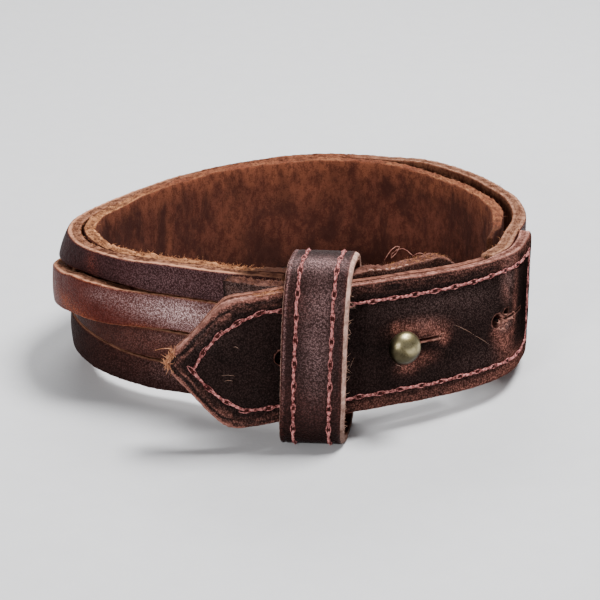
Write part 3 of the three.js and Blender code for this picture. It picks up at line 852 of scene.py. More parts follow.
# Each softbox: its place, its width and height, and its power.
SOFTBOXES = {
    "overhead_box": ((0.16, 0.03, 0.46), (0.16, 0.16), 6.0),
    "front_left_box": ((-0.3, -0.56, 0.24), (0.14, 0.12), 3.8),
    "left_box": ((-0.5, 0.08, 0.2), (0.06, 0.2), 0.4),
    "back_box": ((-0.05, 0.5, 0.45), (0.4, 0.25), 3.6),
}


def set_camera():
    camera = bpy.data.objects.new("camera", bpy.data.cameras.new("camera"))
    camera.data.lens = 116.16
    camera.data.sensor_width = 36
    camera.data.clip_start = 0.01
    outward = Vector((0, -math.cos(CAMERA_RISE), math.sin(CAMERA_RISE)))
    camera.location = CAMERA_AIM + outward * CAMERA_DISTANCE
    camera.rotation_euler = (math.pi / 2 - CAMERA_RISE, 0, 0)
    bpy.context.scene.collection.objects.link(camera)
    bpy.context.scene.camera = camera


def softbox(name, place, size, power):
    light = bpy.data.lights.new(name, "AREA")
    light.shape = "RECTANGLE"
    light.size, light.size_y = size
    light.energy = power
    lamp = bpy.data.objects.new(name, light)
    lamp.location = place
    lamp.rotation_euler = (LIGHTS_AIM - Vector(place)).to_track_quat("-Z", "Y").to_euler()
    bpy.context.scene.collection.objects.link(lamp)


def light_the_table():
    world = bpy.data.worlds.new("studio")
    bpy.context.scene.world = world
    world.use_nodes = True
    sky = world.node_tree.nodes["Background"].inputs
    sky["Color"].default_value = (0.93, 0.95, 1.0, 1)
    sky["Strength"].default_value = 0.22
    for name, (place, size, power) in SOFTBOXES.items():
        softbox(name, place, size, power)


def lay_floor():
    bm = bmesh.new()
    bmesh.ops.create_grid(bm, x_segments=4, y_segments=4, size=1.5)
    mesh = bpy.data.meshes.new("table_floor")
    bm.to_mesh(mesh)
    bm.free()
    floor = bpy.data.objects.new("table_floor", mesh)
    floor.data.materials.append(PALETTE["floor"])
    bpy.context.scene.collection.objects.link(floor)


set_camera()
light_the_table()
lay_floor()


# ------------------------------------------------------------------ the body
LINER_WEAR = [((68.7, 9.5), (0.75, 5.5), 0.7), ((100, 15), (9, 3), 0.5), ((84, 11), (3, 6), 0.4)]
BAND_WEAR = [((30, 12), (14, 5), 0.5), ((52, 6), (8, 6), 0.35)]
RIM_SHADE = (8.5, 6)                # the rims are dark from here to where they pass under the keeper


def make_liner():
    length = LINER_LINE.length

    def section(along):
        rise = 0.25 * waver(along, 0, 3, 7.0) + 0.35 * between(9, 0, along)
        rise -= 0.5 * between(2, 0, length - along)
        thin = 0.95 * between(12, 1, length - along)
        return -LINER_THICK + thin, 0.0, LINER_LOW, BODY_WIDTH + rise, 0.0

    def relief(along, up, flesh):
        return 0.16 * waver(along, up, flesh * 9, 4.0)

    def paint(along, up, flesh):
        far_wall = between(52, 70, along)
        plain = max(far_wall * (0.85 + 0.4 * waver(along, 3, 77, 3.0)), 0.75 * between(6.0, 2.5, along))
        # painted shade: the rims darken toward the keeper, and the liner darkens toward its end
        rim_shade = 0.95 * between(*RIM_SHADE, along) * between(BODY_WIDTH - 0.9, BODY_WIDTH - 0.2, up)
        dark = max(rim_shade, 0.75 * between(11, 1.5, length - along))
        if flesh <= 0.5:
            return {"worn": 0.0, "plain": plain, "dark": dark}
        ragged = 3.4 * waver(along, 0, 30, 2.2) + 2.2 * waver(along, up, 31, 1.1)
        # partly a painted pool of light: the inner face warms toward its top rim, most on the far wall, with
        # worn patches over it
        border = between(2.4 + 2.2 * far_wall + ragged, 0.2 + 0.3 * ragged, BODY_WIDTH - up)
        lit_rim_and_wear = (0.55 + 0.35 * far_wall) * border + patches_at(LINER_WEAR, along, up)
        lit_rim_and_wear += 0.8 * bump_at(along, up, (57.5 + 0.5 * (up - 19) ** 2, 19), (0.5, 1.6))
        # painted shade, darker toward the bottom of the inner face
        return {"worn": held(lit_rim_and_wear), "plain": plain, "dark": max(0.35 * between(9, 1, up), dark)}

    bm = strip(LINER_LINE, even_stations(0, length, 0.45), section, (12, 7, 26), relief, paint)
    roughen(bm, 0.3, 0.8, seed=1)
    lay_down(bm)
    finish_piece(bm, "liner_suede", "liner", ["liner"])


def make_band():
    def section(along):
        rise = 0.2 * waver(along, 5, 3, 9.0)
        return -BAND_THICK, 0.0, 0.0, BODY_WIDTH + rise * between(0, 6, along), 0.0

    def relief(along, up, flesh):
        return 0.1 * waver(along, up, flesh * 9 + 20, 6.0) * between(0, 3, along)

    def paint(along, up, flesh):
        return {"worn": patches_at(BAND_WEAR, along, up), "plain": between(14, 2, along)}

    stations = [0.0, 0.02] + even_stations(0.3, BAND_LINE.length, 0.45)[1:]
    bm = strip(BAND_LINE, stations, section, (30, 7, 12), relief, paint, joined=(True, False))
    roughen(bm, 0.16, 0.7, seed=2)
    lay_down(bm)
    finish_piece(bm, "outer_band_leather", "band", ["outer_band"])


# Each strand's worn patches, its patches of painted sheen, and its finish.
STRAND_WEAR = {
    "strand_top": (
        [((31.5, 17.5), (1.2, 3.0), 0.85), ((55, 17), (6, 3), 0.4)],
        [((17.5, 17.7), (9, 3.4), 0.34), ((7, 17.5), (5, 3), 0.3), ((52, 17), (8, 3), 0.2)], "top"),
    "strand_crossing": (
        [((34.6, 11.0), (2.6, 1.3), 0.75), ((31.5, 9.9), (2.2, 0.8), 0.7), ((46, 10), (8, 3), 0.5),
         ((22.5, 9.8), (2.5, 0.5), 0.6)],
        [((15.2, 12.6), (5.2, 2.3), 0.95), ((21.5, 13.2), (4.0, 1.9), 0.4), ((27.5, 14.3), (3.0, 1.2), 0.2),
         ((50, 9.5), (6, 2), 0.25)], "crossing"),
    "strand_under": (
        [((20, 7.2), (7, 2), 0.5)], [((16, 8.4), (6, 0.9), 0.5), ((22, 6.6), (5, 1.6), 0.15)], "under"),
    "strand_bottom": ([((24, 3.6), (6, 2), 0.3)], [((17.0, 2.8), (5, 2), 0.3)], "bottom"),
}


def make_strand(node):
    rows = STRANDS[node]
    patches, sheen_patches, finish = STRAND_WEAR[node]
    out, low, high, lean = (eased(rows, column) for column in (1, 2, 3, 4))
    seed = len(node)
    end = rows[-1][0] + STRAND_RUN_ON

    def section(along):
        free = between(0, 8, end - along)
        wave = 0.14 * waver(along, seed * 7, 1, 6.0) * free
        inner = out(along) + 0.3 * (1 - free)
        return inner, inner + STRAND_THICK, low(along) + wave, high(along) + wave, lean(along)

    def relief(along, up, flesh):
        share = (up - low(along)) / (high(along) - low(along))
        crown = 0.2 * (1 - (2 * share - 1) ** 2) if flesh < 0.5 else 0.0
        uneven = 0.09 * waver(along, up, seed * 3 + flesh * 9, 4.0)
        return (crown + uneven) * between(0, 8, end - along)

    def shade_on(along, up, flesh):
        if node == "strand_crossing":
            return 0.7 * between(0.08, 0.2, flesh) * between(34, 25, along)
        if node == "strand_top":
            return 0.9 * between(*RIM_SHADE, along) * between(high(along) - 0.6, high(along) - 0.1, up)
        return 0.0

    def paint(along, up, flesh):
        return {
            "worn": patches_at(patches, along, up),
            "bloom": patches_at(sheen_patches, along, up),
            "plain": max(between(58, 90, along), 0.6 * between(6.5, 3, along)),
            "dark": shade_on(along, up, flesh),
        }

    stations = even_stations(rows[0][0], end, 0.45)
    bm = strip(LINER_LINE, stations, section, (10, 6, 6), relief, paint, joined=(False, True))
    roughen(bm, 0.12, 0.6, seed=seed)
    lay_down(bm)
    finish_piece(bm, node + "_leather", finish, [node])


# ------------------------------------------------------------------ the strap
strap_low, strap_high = eased(STRAP_EDGES, 1), eased(STRAP_EDGES, 2)
tip_share, sewn_share = straight(STRAP_TIP), straight(SEWN_END)

STRAP_WEAR = [
    ((36.1, 12.7), (0.7, 0.8), 1.1), ((33.0, 12.3), (3.2, 1.1), 1.0), ((30.6, 11.4), (2.8, 1.0), 0.9),
    ((28.4, 10.2), (1.3, 0.9), 0.7), ((31.8, 6.9), (2.4, 1.0), 0.7), ((34.2, 5.7), (1.6, 0.9), 0.6),
    ((27.8, 9.4), (0.8, 0.8), 1.0), ((15.0, 6.3), (2.1, 2.4), 0.95), ((17.0, 8.0), (1.3, 1.3), 0.9),
    ((12.6, 12.0), (0.8, 5.0), 0.6), ((12.0, 2.4), (4.0, 1.5), 0.7), ((20, 0.6), (9.0, 1.2), 0.4),
    ((14.5, 18.6), (2.4, 1.2), 0.6), ((15.2, 15.0), (1.0, 2.0), 0.6), ((16.2, 9.1), (0.9, 0.8), 1.3),
    ((40, 1.0), (12.0, 0.9), 0.3),
]
# Patches of painted sheen on the strap's face.
STRAP_SHEEN = [
    ((31.5, 12.6), (3.5, 1.3), 0.35), ((15.5, 8.6), (1.3, 1.0), 1.0), ((14.6, 16.5), (1.6, 3.0), 0.8),
    ((30, 15.5), (9, 1.5), 0.3), ((22, 14), (5, 3), 0.2), ((21, 4.5), (5, 2), 0.2),
    ((66.5, 14.5), (4, 2), 0.2),
]
STRAP_SHADES = [((STUD_AT + 2.9, 9.0), (1.3, 3.0), 0.4), ((7.5, 11), (3.6, 9), 0.85)]
# Where the face is lifted round a hole or pressed under the stud, in mm.
STRAP_LIFTS = [
    ((THIRD_HOLE_AT - 2.6, 9.0), (2.0, 1.3), 0.42), ((THIRD_HOLE_AT - 1.6, 12.4), (1.6, 1.2), 0.25),
    ((STUD_AT - 4.5, 9.2), (3.4, 0.9), 0.22), ((STUD_AT, 10.0), (4.0, 4.0), -0.18),
]
# Creases pressed into the strap's face: from, to, depth.
STRAP_CREASES = [
    ((17.9, 20.5), (15.2, 15.8), 0.16), ((15.9, 16.6), (12.4, 12.1), 0.2), ((16.0, 19.6), (13.4, 15.0), 0.1),
    ((19.6, 18.8), (17.2, 14.2), 0.08), ((25.9, 11.3), (18.8, 6.4), 0.07), ((12.6, 8.8), (11.4, 3.2), 0.12),
    ((63.4, 8.1), (61.4, 8.0), 0.06),
]


def strap_spread(along):
    """The middle of the strap there, and half its width."""
    low, high = strap_low(along), strap_high(along)
    share = min(tip_share(STRAP_LINE.length - along), sewn_share(along))
    return (low + high) / 2, (high - low) / 2 * share


def strap_margin(along, up):
    """How far a place on the strap's face is from its outline."""
    middle, half = strap_spread(along)
    slant = 0.62 if STRAP_LINE.length - along < 9.5 else 1.0
    return (half - abs(up - middle)) * slant


def strap_relief(along, up, flesh):
    """The strap's face: drawn in along its stitching, lifted round its holes, softly uneven."""
    if flesh > 0.5:
        return 0.05 * waver(along, up, 40, 4.0)
    corners = zip(STRAP_SEAM, STRAP_SEAM[1:] + STRAP_SEAM[:1])
    from_seam = min(beside_run(start, end, along, up)[0] for start, end in corners)
    lift = 0.12 * waver(along, up, 50, 5.0) - 0.15 * ridge(from_seam, 0.5)
    lift -= (0.12 + 0.26 * between(50, 58, along)) * between(0.75, 0.0, strap_margin(along, up))
    for start, end, deep in STRAP_CREASES:
        off, share = beside_run(start, end, along, up)
        lift -= deep * ridge(off, 0.3) * math.sin(math.pi * (0.1 + 0.8 * share))
    return lift + patches_at(STRAP_LIFTS, along, up)


def strap_paint(along, up, flesh):
    """Pull-up wear round the holes and at both ends, with streaks and a pale line along the edge, and painted
    sheen and painted shade in patches.
    """
    margin = strap_margin(along, up)
    tip, sewn = between(48, 62, along), between(24, 10, along)
    streak = 0.7 + 1.3 * waver(along, margin * 7, 90, 2.6) + 0.9 * waver(along, margin * 4, 92, 0.9)
    streak = max(0.0, streak)
    worn = patches_at(STRAP_WEAR, along, up)
    worn += (0.15 + 0.3 * tip + 0.25 * sewn) * between(2.3, 1.3, margin) * streak
    worn += (0.3 + 0.24 * tip) * ridge(margin - 0.5, 0.15) - 0.4 * tip * ridge(margin - 0.86, 0.16)
    # painted sheen in patches, and in streaks near the tip's edge
    bloom = patches_at(STRAP_SHEEN, along, up) + 0.12 * tip * between(2.2, 1.4, margin) * streak
    raw = tip * between(0.55, 0.3, margin) if up > 2 or along > 60 else 0.0
    return {"worn": held(worn), "bloom": min(1.0, bloom), "cut": 0.65 * raw,
            "dark": patches_at(STRAP_SHADES, along, up)}


def strap_section(inner, outer, sewn_thicker=0.0):
    def section(along):
        middle, half = strap_spread(along)
        wave = 0.08 * waver(along, outer * 9, 7, 5.0)
        thick = sewn_thicker * between(21, 15, along)
        return inner - thick, outer, middle - half + wave, middle + half + wave, 0.0
    return section


def strap_stations(start, step):
    """Even stations, and closer ones where the tip narrows."""
    length = STRAP_LINE.length
    ends = [length - reach for reach in (1.6, 1.3, 1.0, 0.8, 0.6, 0.45, 0.3, 0.2, 0.1, 0.03, 0.0)]
    count = round((length - 2.0 - start) / step)
    middle = [start + 0.3 + (length - 2.0 - start - 0.3) * k / count for k in range(1, count + 1)]
    return [start + e for e in (0.0, 0.03, 0.1, 0.2, 0.3)] + middle + ends


def hole_place(index):
    """Turns a shape's Z outward and its X toward the tip, at one of the strap's holes."""
    point, outward = STRAP_LINE.at(HOLES_AT[index])
    return Matrix((
        (outward.y, 0, outward.x, point.x), (-outward.x, 0, outward.y, point.y),
        (0, -1, 0, BODY_WIDTH / 2), (0, 0, 0, 1),
    ))


def punch():
    """Shapes of the stud holes, the slit beside each, and the torn pit."""
    bm = bmesh.new()
    for index in range(3):
        turned = hole_place(index)
        cutter = bmesh.new()
        bmesh.ops.create_cone(cutter, cap_ends=True, segments=28, radius1=HOLE_RADIUS,
                              radius2=HOLE_RADIUS, depth=PUNCH_LENGTH, matrix=turned)
        add_from(bm, cutter)
        cutter = bmesh.new()
        slit = Matrix.Translation((-SLIT_LENGTH / 2, 0, 0))
        slit = slit @ Matrix.Diagonal((SLIT_LENGTH, SLIT_WIDTH, PUNCH_LENGTH, 1))
        bmesh.ops.create_cube(cutter, size=1.0, matrix=turned @ slit)
        bmesh.ops.bevel(cutter, geom=[e for e in cutter.edges if e.calc_length() > PUNCH_LENGTH - 0.1],
                        offset=0.2, segments=2, profile=0.5, affect="EDGES", material=-1)
        add_from(bm, cutter)
    pit = Matrix.Translation((*PIT_PLACE, PIT_LIFT))
    cutter = bmesh.new()
    bmesh.ops.create_cone(cutter, cap_ends=True, segments=20, radius1=PIT_RADIUS * 0.8, radius2=PIT_RADIUS,
                          depth=2 * (PIT_LIFT + 0.75 * STRAP_FACE_THICK), matrix=hole_place(2) @ pit)
    add_from(bm, cutter)
    return bm


def add_from(bm, other):
    """Puts another small shape into a growing one."""
    mesh = bpy.data.meshes.new("part")
    other.to_mesh(mesh)
    other.free()
    bm.from_mesh(mesh)
    bpy.data.meshes.remove(mesh)


def cut_through(bm, cutters):
    """Takes the cutters away from a piece, keeping its marks."""
    objects = []
    for shape in (bm, cutters):
        mesh = bpy.data.meshes.new("cutting")
        shape.to_mesh(mesh)
        thing = bpy.data.objects.new("cutting", mesh)
        bpy.context.scene.collection.objects.link(thing)
        objects.append(thing)
    cutters.free()
    cut = objects[0].modifiers.new("cut", "BOOLEAN")
    cut.operation = "DIFFERENCE"
    cut.object = objects[1]
    cut.solver = "EXACT"
    cut.use_self = True
    graph = bpy.context.evaluated_depsgraph_get()
    mesh = bpy.data.meshes.new_from_object(objects[0].evaluated_get(graph))
    bm.clear()
    bm.from_mesh(mesh)
    bpy.data.meshes.remove(mesh)
    for thing in objects:
        mesh = thing.data
        bpy.data.objects.remove(thing)
        bpy.data.meshes.remove(mesh)


def mark_punched(bm):
    """Marks the raw rims of the holes, slits and pit, with painted shade where they go deep."""
    raw, worn, dark = (bm.verts.layers.float[name] for name in ("cut", "worn", "dark"))
    for index in range(3):
        inward = hole_place(index).inverted()
        for v in bm.verts:
            spot = inward @ v.co
            if abs(spot.x) > 9 or abs(spot.y) > 2:
                continue
            round_hole = math.hypot(spot.x, spot.y) - HOLE_RADIUS
            slit = max(abs(spot.y) - SLIT_WIDTH / 2, spot.x, -spot.x - SLIT_LENGTH)
            if abs(min(round_hole, slit)) < 0.03:
                v[raw] = 1.0
                v[worn] = 0.8
                v[dark] = 0.8 * between(0.1, -0.6, spot.z)
            pit = math.hypot(spot.x - PIT_PLACE[0], spot.y - PIT_PLACE[1])
            if index == 2 and pit < PIT_RADIUS + 0.03 and spot.z > -STRAP_FACE_THICK:
                v[raw] = 1.0
                v[dark] = between(0.5, -0.1, spot.z)


def finish_strap_layer(bm, name, finish, node):
    roughen(bm, 0.07, 0.6, seed=4)
    cut_through(bm, punch())
    mark_punched(bm)
    lay_down(bm)
    finish_piece(bm, name, finish, [node])


def make_strap():
    section = strap_section(-STRAP_FACE_THICK, 0.0, sewn_thicker=0.6)
    bm = strip(STRAP_LINE, strap_stations(0.0, 0.27), section, (76, 5, 10), strap_relief, strap_paint)
    finish_strap_layer(bm, "strap_face_leather", "strap", "strap_face")
    outer = -STRAP_FACE_THICK - LAYER_GAP
    section = strap_section(outer - STRAP_LINING_THICK, outer)
    bm = strip(STRAP_LINE, strap_stations(LINING_START, 0.6), section, (12, 5, 16))
    finish_strap_layer(bm, "strap_lining_suede", "lining", "strap_lining")


# ------------------------------------------------------------------ the stud tongue
tongue_share = straight(TONGUE_END)


def tongue_rise(along):
    """How far the tongue's middle is above the body's: toward its free end, and at its short stitches."""
    length = TONGUE_LINE.length
    return TONGUE_RISE * between(length / 3, length, length - along) + 0.85 * ridge(along - 16.8, 3.0)


def make_tongue():
    length = TONGUE_LINE.length

    def section(along):
        half = BODY_WIDTH / 2 * tongue_share(along)
        wave = 0.2 * waver(along, 3, 17, 3.5)
        middle = BODY_WIDTH / 2 + tongue_rise(along)
        return 0.0, TONGUE_THICK, middle - half, middle + half + wave, 0.0

    def relief(along, up, flesh):
        return 0.1 * waver(along, up, 70 + flesh * 5, 4.0)

    def paint(along, up, flesh):
        sewn = between(26, 28, along)
        ragged = 0.5 + 1.6 * waver(along, up, 90, 0.9) + 0.8 * waver(along, up, 91, 0.35)
        rough = sewn * between(12, 15, up) * held(ragged) if flesh < 0.5 else 0.0
        # painted shadow at the tongue's cut left end
        end_shadow = between(1.1 + 0.9 * waver(along, up, 95, 0.8), 0.2, length - along - 0.16 * (up - 18))
        rim_shade = 0.5 * between(25, 28, along) * between(19.2, 19.8, up)
        worn = 0.42 * between(1.0, 0.3, 20.5 - up) + 0.8 * between(24, 20, along) * between(19.9, 20.9, up)
        # painted sheen over the sewn end
        return {"dark": max(end_shadow, rim_shade), "cut": 0.5 * rough, "bloom": 0.35 * sewn, "worn": worn}

    bm = strip(TONGUE_LINE, even_stations(0, length, 0.4), section, (20, 7, 14), relief, paint)
    roughen(bm, 0.3, 0.6, seed=6)
    lay_down(bm)
    finish_piece(bm, "stud_tongue_leather", "tongue", ["stud_tongue"])


# ------------------------------------------------------------------ the keeper
def square_round(turn, half_depth, half_height):
    bend = 2 / KEEPER_SQUARE
    across, rise = math.cos(turn), math.sin(turn)
    return (
        math.copysign(abs(across) ** bend, across) * half_depth,
        math.copysign(abs(rise) ** bend, rise) * half_height,
    )


class KeeperLine:
    """The keeper's loop, walked from the middle of its front, upward, by its outer length."""

    def __init__(self, steps=2400):
        self.turns = [2 * math.pi * k / steps for k in range(steps + 1)]
        dots = [Vector(square_round(turn, KEEPER_DEPTH, KEEPER_HEIGHT)) for turn in self.turns]
        self.walked = [0.0]
        for a, b in zip(dots, dots[1:]):
            self.walked.append(self.walked[-1] + (b - a).length)
        self.length = self.walked[-1]

    def spot(self, along, across, thick):
        """across is from the keeper's middle to its left; thick is 0 inside and KEEPER_WALL outside."""
        along %= self.length
        i = max(0, min(len(self.turns) - 2, bisect.bisect_right(self.walked, along) - 1))
        share = (along - self.walked[i]) / (self.walked[i + 1] - self.walked[i])
        turn = self.turns[i] + (self.turns[i + 1] - self.turns[i]) * share
        outer = Vector(square_round(turn, KEEPER_DEPTH, KEEPER_HEIGHT))
        inner = Vector(square_round(turn, KEEPER_DEPTH - KEEPER_WALL, KEEPER_HEIGHT - KEEPER_WALL))
        depth, height = inner.lerp(outer, thick / KEEPER_WALL)
        depth += (KEEPER_DEPTH - depth) * KEEPER_PINCH * between(10.6, KEEPER_HEIGHT, height)
        depth_way = Vector((-KEEPER_SKEW, -1, 0))
        up_way = Vector((math.sin(KEEPER_LEAN), 0, math.cos(KEEPER_LEAN)))
        width_way = Vector((-math.cos(KEEPER_LEAN), 0, math.sin(KEEPER_LEAN)))
        return KEEPER_MIDDLE + depth_way * depth + up_way * height + width_way * across


KEEPER_LINE = KeeperLine()
# Worn patches and patches of painted sheen on the keeper, along from the middle of its front and across.
KEEPER_WEAR = [((-8, 0), (5, 6), 0.3), ((9, 2), (3, 3), 0.3)]
KEEPER_SHEEN = [((3, -0.4), (8, 2.0), 0.44), ((16.3, 0), (2.0, 5), 0.72), ((9.5, -1.5), (2, 3), 0.25)]


def make_keeper():
    length = KEEPER_LINE.length
    half = KEEPER_WIDTH / 2

    def put(along, step):
        kind, share, cut, flesh = step
        turn = 2 * math.pi * along / length
        wave = 0.07 * waver(math.cos(turn) * 9, math.sin(turn) * 9, 2, 4.0)
        thick, across = on_section(kind, share, 0.0, KEEPER_WALL, -half, half, 0.25)
        front = along if along < length / 2 else along - length
        right, left = across + half, half - across
        creased = ridge(across - KEEPER_CREASE - 0.22, 0.14)
        bloom = 0.0
        if flesh < 0.5:
            thick -= sum(0.1 * ridge(across - seam, 0.5) for seam in KEEPER_SEAMS)
            thick -= 0.12 * ridge(across - KEEPER_CREASE, 0.14)
            thick += 0.5 * wave - 0.3 * between(0.7, 0.0, right)
            cut = max(cut, 0.85 * between(0.72, 0.42, right))
            # painted sheen on the keeper's front and along its crease
            bloom = patches_at(KEEPER_SHEEN, front, across) + 0.6 * creased * between(-12, 2, front)
        worn = 0.4 * between(0.9, 0.1, left) + 0.35 * between(1.2, 0.7, right) + 0.5 * creased
        worn += patches_at(KEEPER_WEAR, front, across)
        low_shade = 0.72 * between(-4, -13, front)
        values = {"cut": cut, "flesh": flesh, "worn": worn, "bloom": bloom, "dark": low_shade}
        return KEEPER_LINE.spot(along, across + wave, thick), values

    stations = [length * k / 240 for k in range(241)]
    bm = bend_blank(stations, section_walk((48, 5, 8)), put, ring=True)
    roughen(bm, 0.07, 0.5, seed=8)
    lay_down(bm)
    finish_piece(bm, "keeper_leather", "keeper", ["keeper_loop"])


# ------------------------------------------------------------------ the stud
def stud_side():
    """The stud's outline as (radius, outward) dots, from its foot's middle to its head's."""
    foot_top = -(STRAP_FACE_THICK + LAYER_GAP + STRAP_LINING_THICK + TONGUE_THICK + STUD_SLACK)
    foot, low = foot_top - STUD_FOOT_THICK, STUD_HEAD_LOW
    wide, neck = STUD_FOOT_RADIUS, STUD_NECK_RADIUS
    side = [(0, foot), (wide - 0.3, foot), (wide - 0.08, foot + 0.06), (wide, foot + 0.25),
            (wide, foot_top - 0.1), (wide - 0.08, foot_top), (neck + 0.1, foot_top), (neck, foot_top + 0.12),
            (neck, low - 0.1), (neck + 0.1, low)]
    belly = STUD_HEAD_TALL * STUD_HEAD_BELLY
    for degrees in range(-60, 90, 5):
        angle = math.radians(degrees)
        tall = belly if angle < 0 else STUD_HEAD_TALL - belly
        side.append((STUD_HEAD_RADIUS * math.cos(angle), low + belly + tall * math.sin(angle)))
    return side + [(0, low + STUD_HEAD_TALL)]


def make_stud():
    """A turned button: a flat foot behind the tongue, a neck, and a domed head, spun in one."""
    bm = bmesh.new()
    dots = [bm.verts.new((radius, 0, out)) for radius, out in stud_side()]
    lines = [bm.edges.new(pair) for pair in zip(dots, dots[1:])]
    bmesh.ops.spin(bm, geom=dots + lines, cent=(0, 0, 0), axis=(0, 0, 1), angle=2 * math.pi,
                   steps=56, use_merge=True, use_duplicate=False)
    bmesh.ops.remove_doubles(bm, verts=bm.verts, dist=0.001)
    bmesh.ops.recalc_face_normals(bm, faces=bm.faces)
    shaded_side = bm.verts.layers.float.new("dark")
    # painted shade: the head darkens toward its lower left, away from the light
    for v in bm.verts:
        v[shaded_side] = between(-1.1, 1.2, v.co.y + 0.3 * v.co.x + 0.55 * math.hypot(v.co.x, v.co.y) - 0.4)
    bmesh.ops.transform(bm, matrix=hole_place(1), verts=bm.verts)
    lay_down(bm)
    finish_piece(bm, "stud_brass", "brass", ["stud"])


make_liner()
make_band()
for node in STRANDS:
    make_strand(node)
make_strap()
make_tongue()
make_keeper()
make_stud()


# ------------------------------------------------------------------ sewing
def draw_threads(name, paths, thickness, finish, sides=0):
    """Thin round threads along lists of (place in mm, share of the thickness)."""
    curve = bpy.data.curves.new(name, "CURVE")
    curve.dimensions = "3D"
    curve.bevel_depth = thickness * 0.001
    curve.bevel_resolution = sides
    curve.resolution_u = 1
    curve.use_fill_caps = True
    for path in paths:
        line = curve.splines.new("POLY")
        line.points.add(len(path) - 1)
        for dot, (place, share) in zip(line.points, path):
            dot.co = (TO_REST @ place).to_4d()
            dot.radius = share
    thing = bpy.data.objects.new(name, curve)
    bpy.context.scene.collection.objects.link(thing)
    graph = bpy.context.evaluated_depsgraph_get()
    mesh = bpy.data.meshes.new_from_object(thing.evaluated_get(graph))
    mesh.name = name
    bpy.data.objects.remove(thing)
    bm = bmesh.new()
    bm.from_mesh(mesh)
    bmesh.ops.remove_doubles(bm, verts=bm.verts, dist=1e-7)
    bmesh.ops.recalc_face_normals(bm, faces=bm.faces)
    for v in bm.verts:
        v.co.z = max(v.co.z, 2 * TABLE_GAP)
    bm.to_mesh(mesh)
    bm.free()
    register(mesh, name, finish)


def walk_seam(corners, pitch):
    """Evenly spaced places round a closed seam of straight runs, the last on the first."""
    runs = list(zip(corners, corners[1:] + corners[:1]))
    lengths = [math.hypot(b[0] - a[0], b[1] - a[1]) for a, b in runs]
    total = sum(lengths)
    count = round(total / pitch)
    spots = []
    for k in range(count):
        left = total * k / count
        for (a, b), length in zip(runs, lengths):
            if left <= length + 1e-6:
                share = left / length
                spots.append((a[0] + (b[0] - a[0]) * share, a[1] + (b[1] - a[1]) * share))
                break
            left -= length
    return spots + spots[:1]


# One stitch: the share of the way from hole to hole, and how high the thread lies there.
STITCH_ARCH = [(0.06, -0.16), (0.14, 0.02), (0.26, 0.1), (0.38, 0.13), (0.5, 0.14), (0.62, 0.13),
               (0.74, 0.1), (0.86, 0.02), (0.94, -0.16)]


def stitch_ply(start, run, side, surface, sway, phase):
    """One of a stitch's two plies, wound round its arch."""
    path = []
    for share, lift in STITCH_ARCH:
        turn = phase + share * STITCH_TWIST
        ease = math.sin(share * math.pi)
        drift = side * (sway * ease + PLY_REACH * math.cos(turn))
        spot = surface(start[0] + run.x * share + drift.x, start[1] + run.y * share + drift.y,
                       lift + PLY_REACH * math.sin(turn))
        path.append((spot, 0.75 + 0.3 * ease))
    return path


def stitch_lip(start, run, bulge, surface):
    """The raised lip on one side of an awl hole, standing off by bulge."""
    lip = []
    for k in (-1.0, -0.5, 0.0, 0.5, 1.0):
        share = 0.32 * k
        bow = bulge * math.cos(k * math.pi / 2.2)
        spot = surface(start[0] + run.x * share + bow.x, start[1] + run.y * share + bow.y, 0.06)
        lip.append((spot, 0.5 + 0.5 * math.cos(k * math.pi / 2)))
    return lip


def awl_hole_shade(bm, start, run, side, surface):
    """Puts a dark dimple where the thread goes down, painted shade standing in for the hole, longest along
    the seam.
    """
    deep = -0.03
    middle = surface(*start, deep)
    long_way = (surface(start[0] + run.x * 0.12, start[1] + run.y * 0.12, deep) - middle).normalized()
    wide_way = (surface(start[0] + side.x, start[1] + side.y, deep) - middle).normalized()
    ways = (long_way, wide_way, long_way.cross(wide_way))
    turned = Matrix([way * size for way, size in zip(ways, AWL_HOLE)]).transposed().to_4x4()
    turned.translation = middle
    dot = bmesh.new()
    bmesh.ops.create_icosphere(dot, subdivisions=1, radius=1.0, matrix=turned)
    add_from(bm, dot)


def sew(name, spots, surface, dice):
    """Stitches from hole to hole. surface(a, b, lift) gives a place on the leather's face."""
    threads, lips, holes = [], [], bmesh.new()
    for start, end in zip(spots, spots[1:]):
        run = Vector((end[0] - start[0], end[1] - start[1]))
        side = Vector((-run.y, run.x)).normalized()
        sway, phase = dice.uniform(-0.08, 0.08), dice.uniform(0, 6.28)
        threads += [stitch_ply(start, run, side, surface, sway, phase + ply) for ply in (0, math.pi)]
        for turned in (-1, 1):
            bulge = side * turned * dice.uniform(0.3, 0.4)
            lips.append(stitch_lip(start, run, bulge, surface))
        awl_hole_shade(holes, start, run, side, surface)
    draw_threads(name + "_stitches", threads, THREAD, "thread")
    draw_threads(name + "_stitch_lips", lips, 0.075, "thread")
    bmesh.ops.recalc_face_normals(holes, faces=holes.faces)
    lay_down(holes)
    finish_piece(holes, name + "_awl_hole_shades", "hole_shade")


def on_strap(along, up, lift):
    return STRAP_LINE.spot(along, strap_relief(along, up, 0.0) + lift, up)


def on_keeper(across, along, lift):
    return KEEPER_LINE.spot(along, across, KEEPER_WALL - 0.1 + lift)


sew("strap", walk_seam(STRAP_SEAM, STRAP_STITCH), on_strap, random.Random(3))
for side, seam in zip(("left", "right"), KEEPER_SEAMS):
    round_loop = [(seam, KEEPER_LINE.length * k / KEEPER_STITCHES) for k in range(KEEPER_STITCHES + 1)]
    sew("keeper_" + side, round_loop, on_keeper, random.Random(7))


# ------------------------------------------------------------------ loose fibres
def fibre(foot, way, reach, dice, curl=0.7):
    """One fibre from its foot, bending away as it thins."""
    bend = Vector([dice.uniform(-curl, curl) for _ in range(3)])
    return [(foot + (way * share + bend * share * share) * reach, 1 - 0.75 * share)
            for share in (0, 0.35, 0.7, 1)]


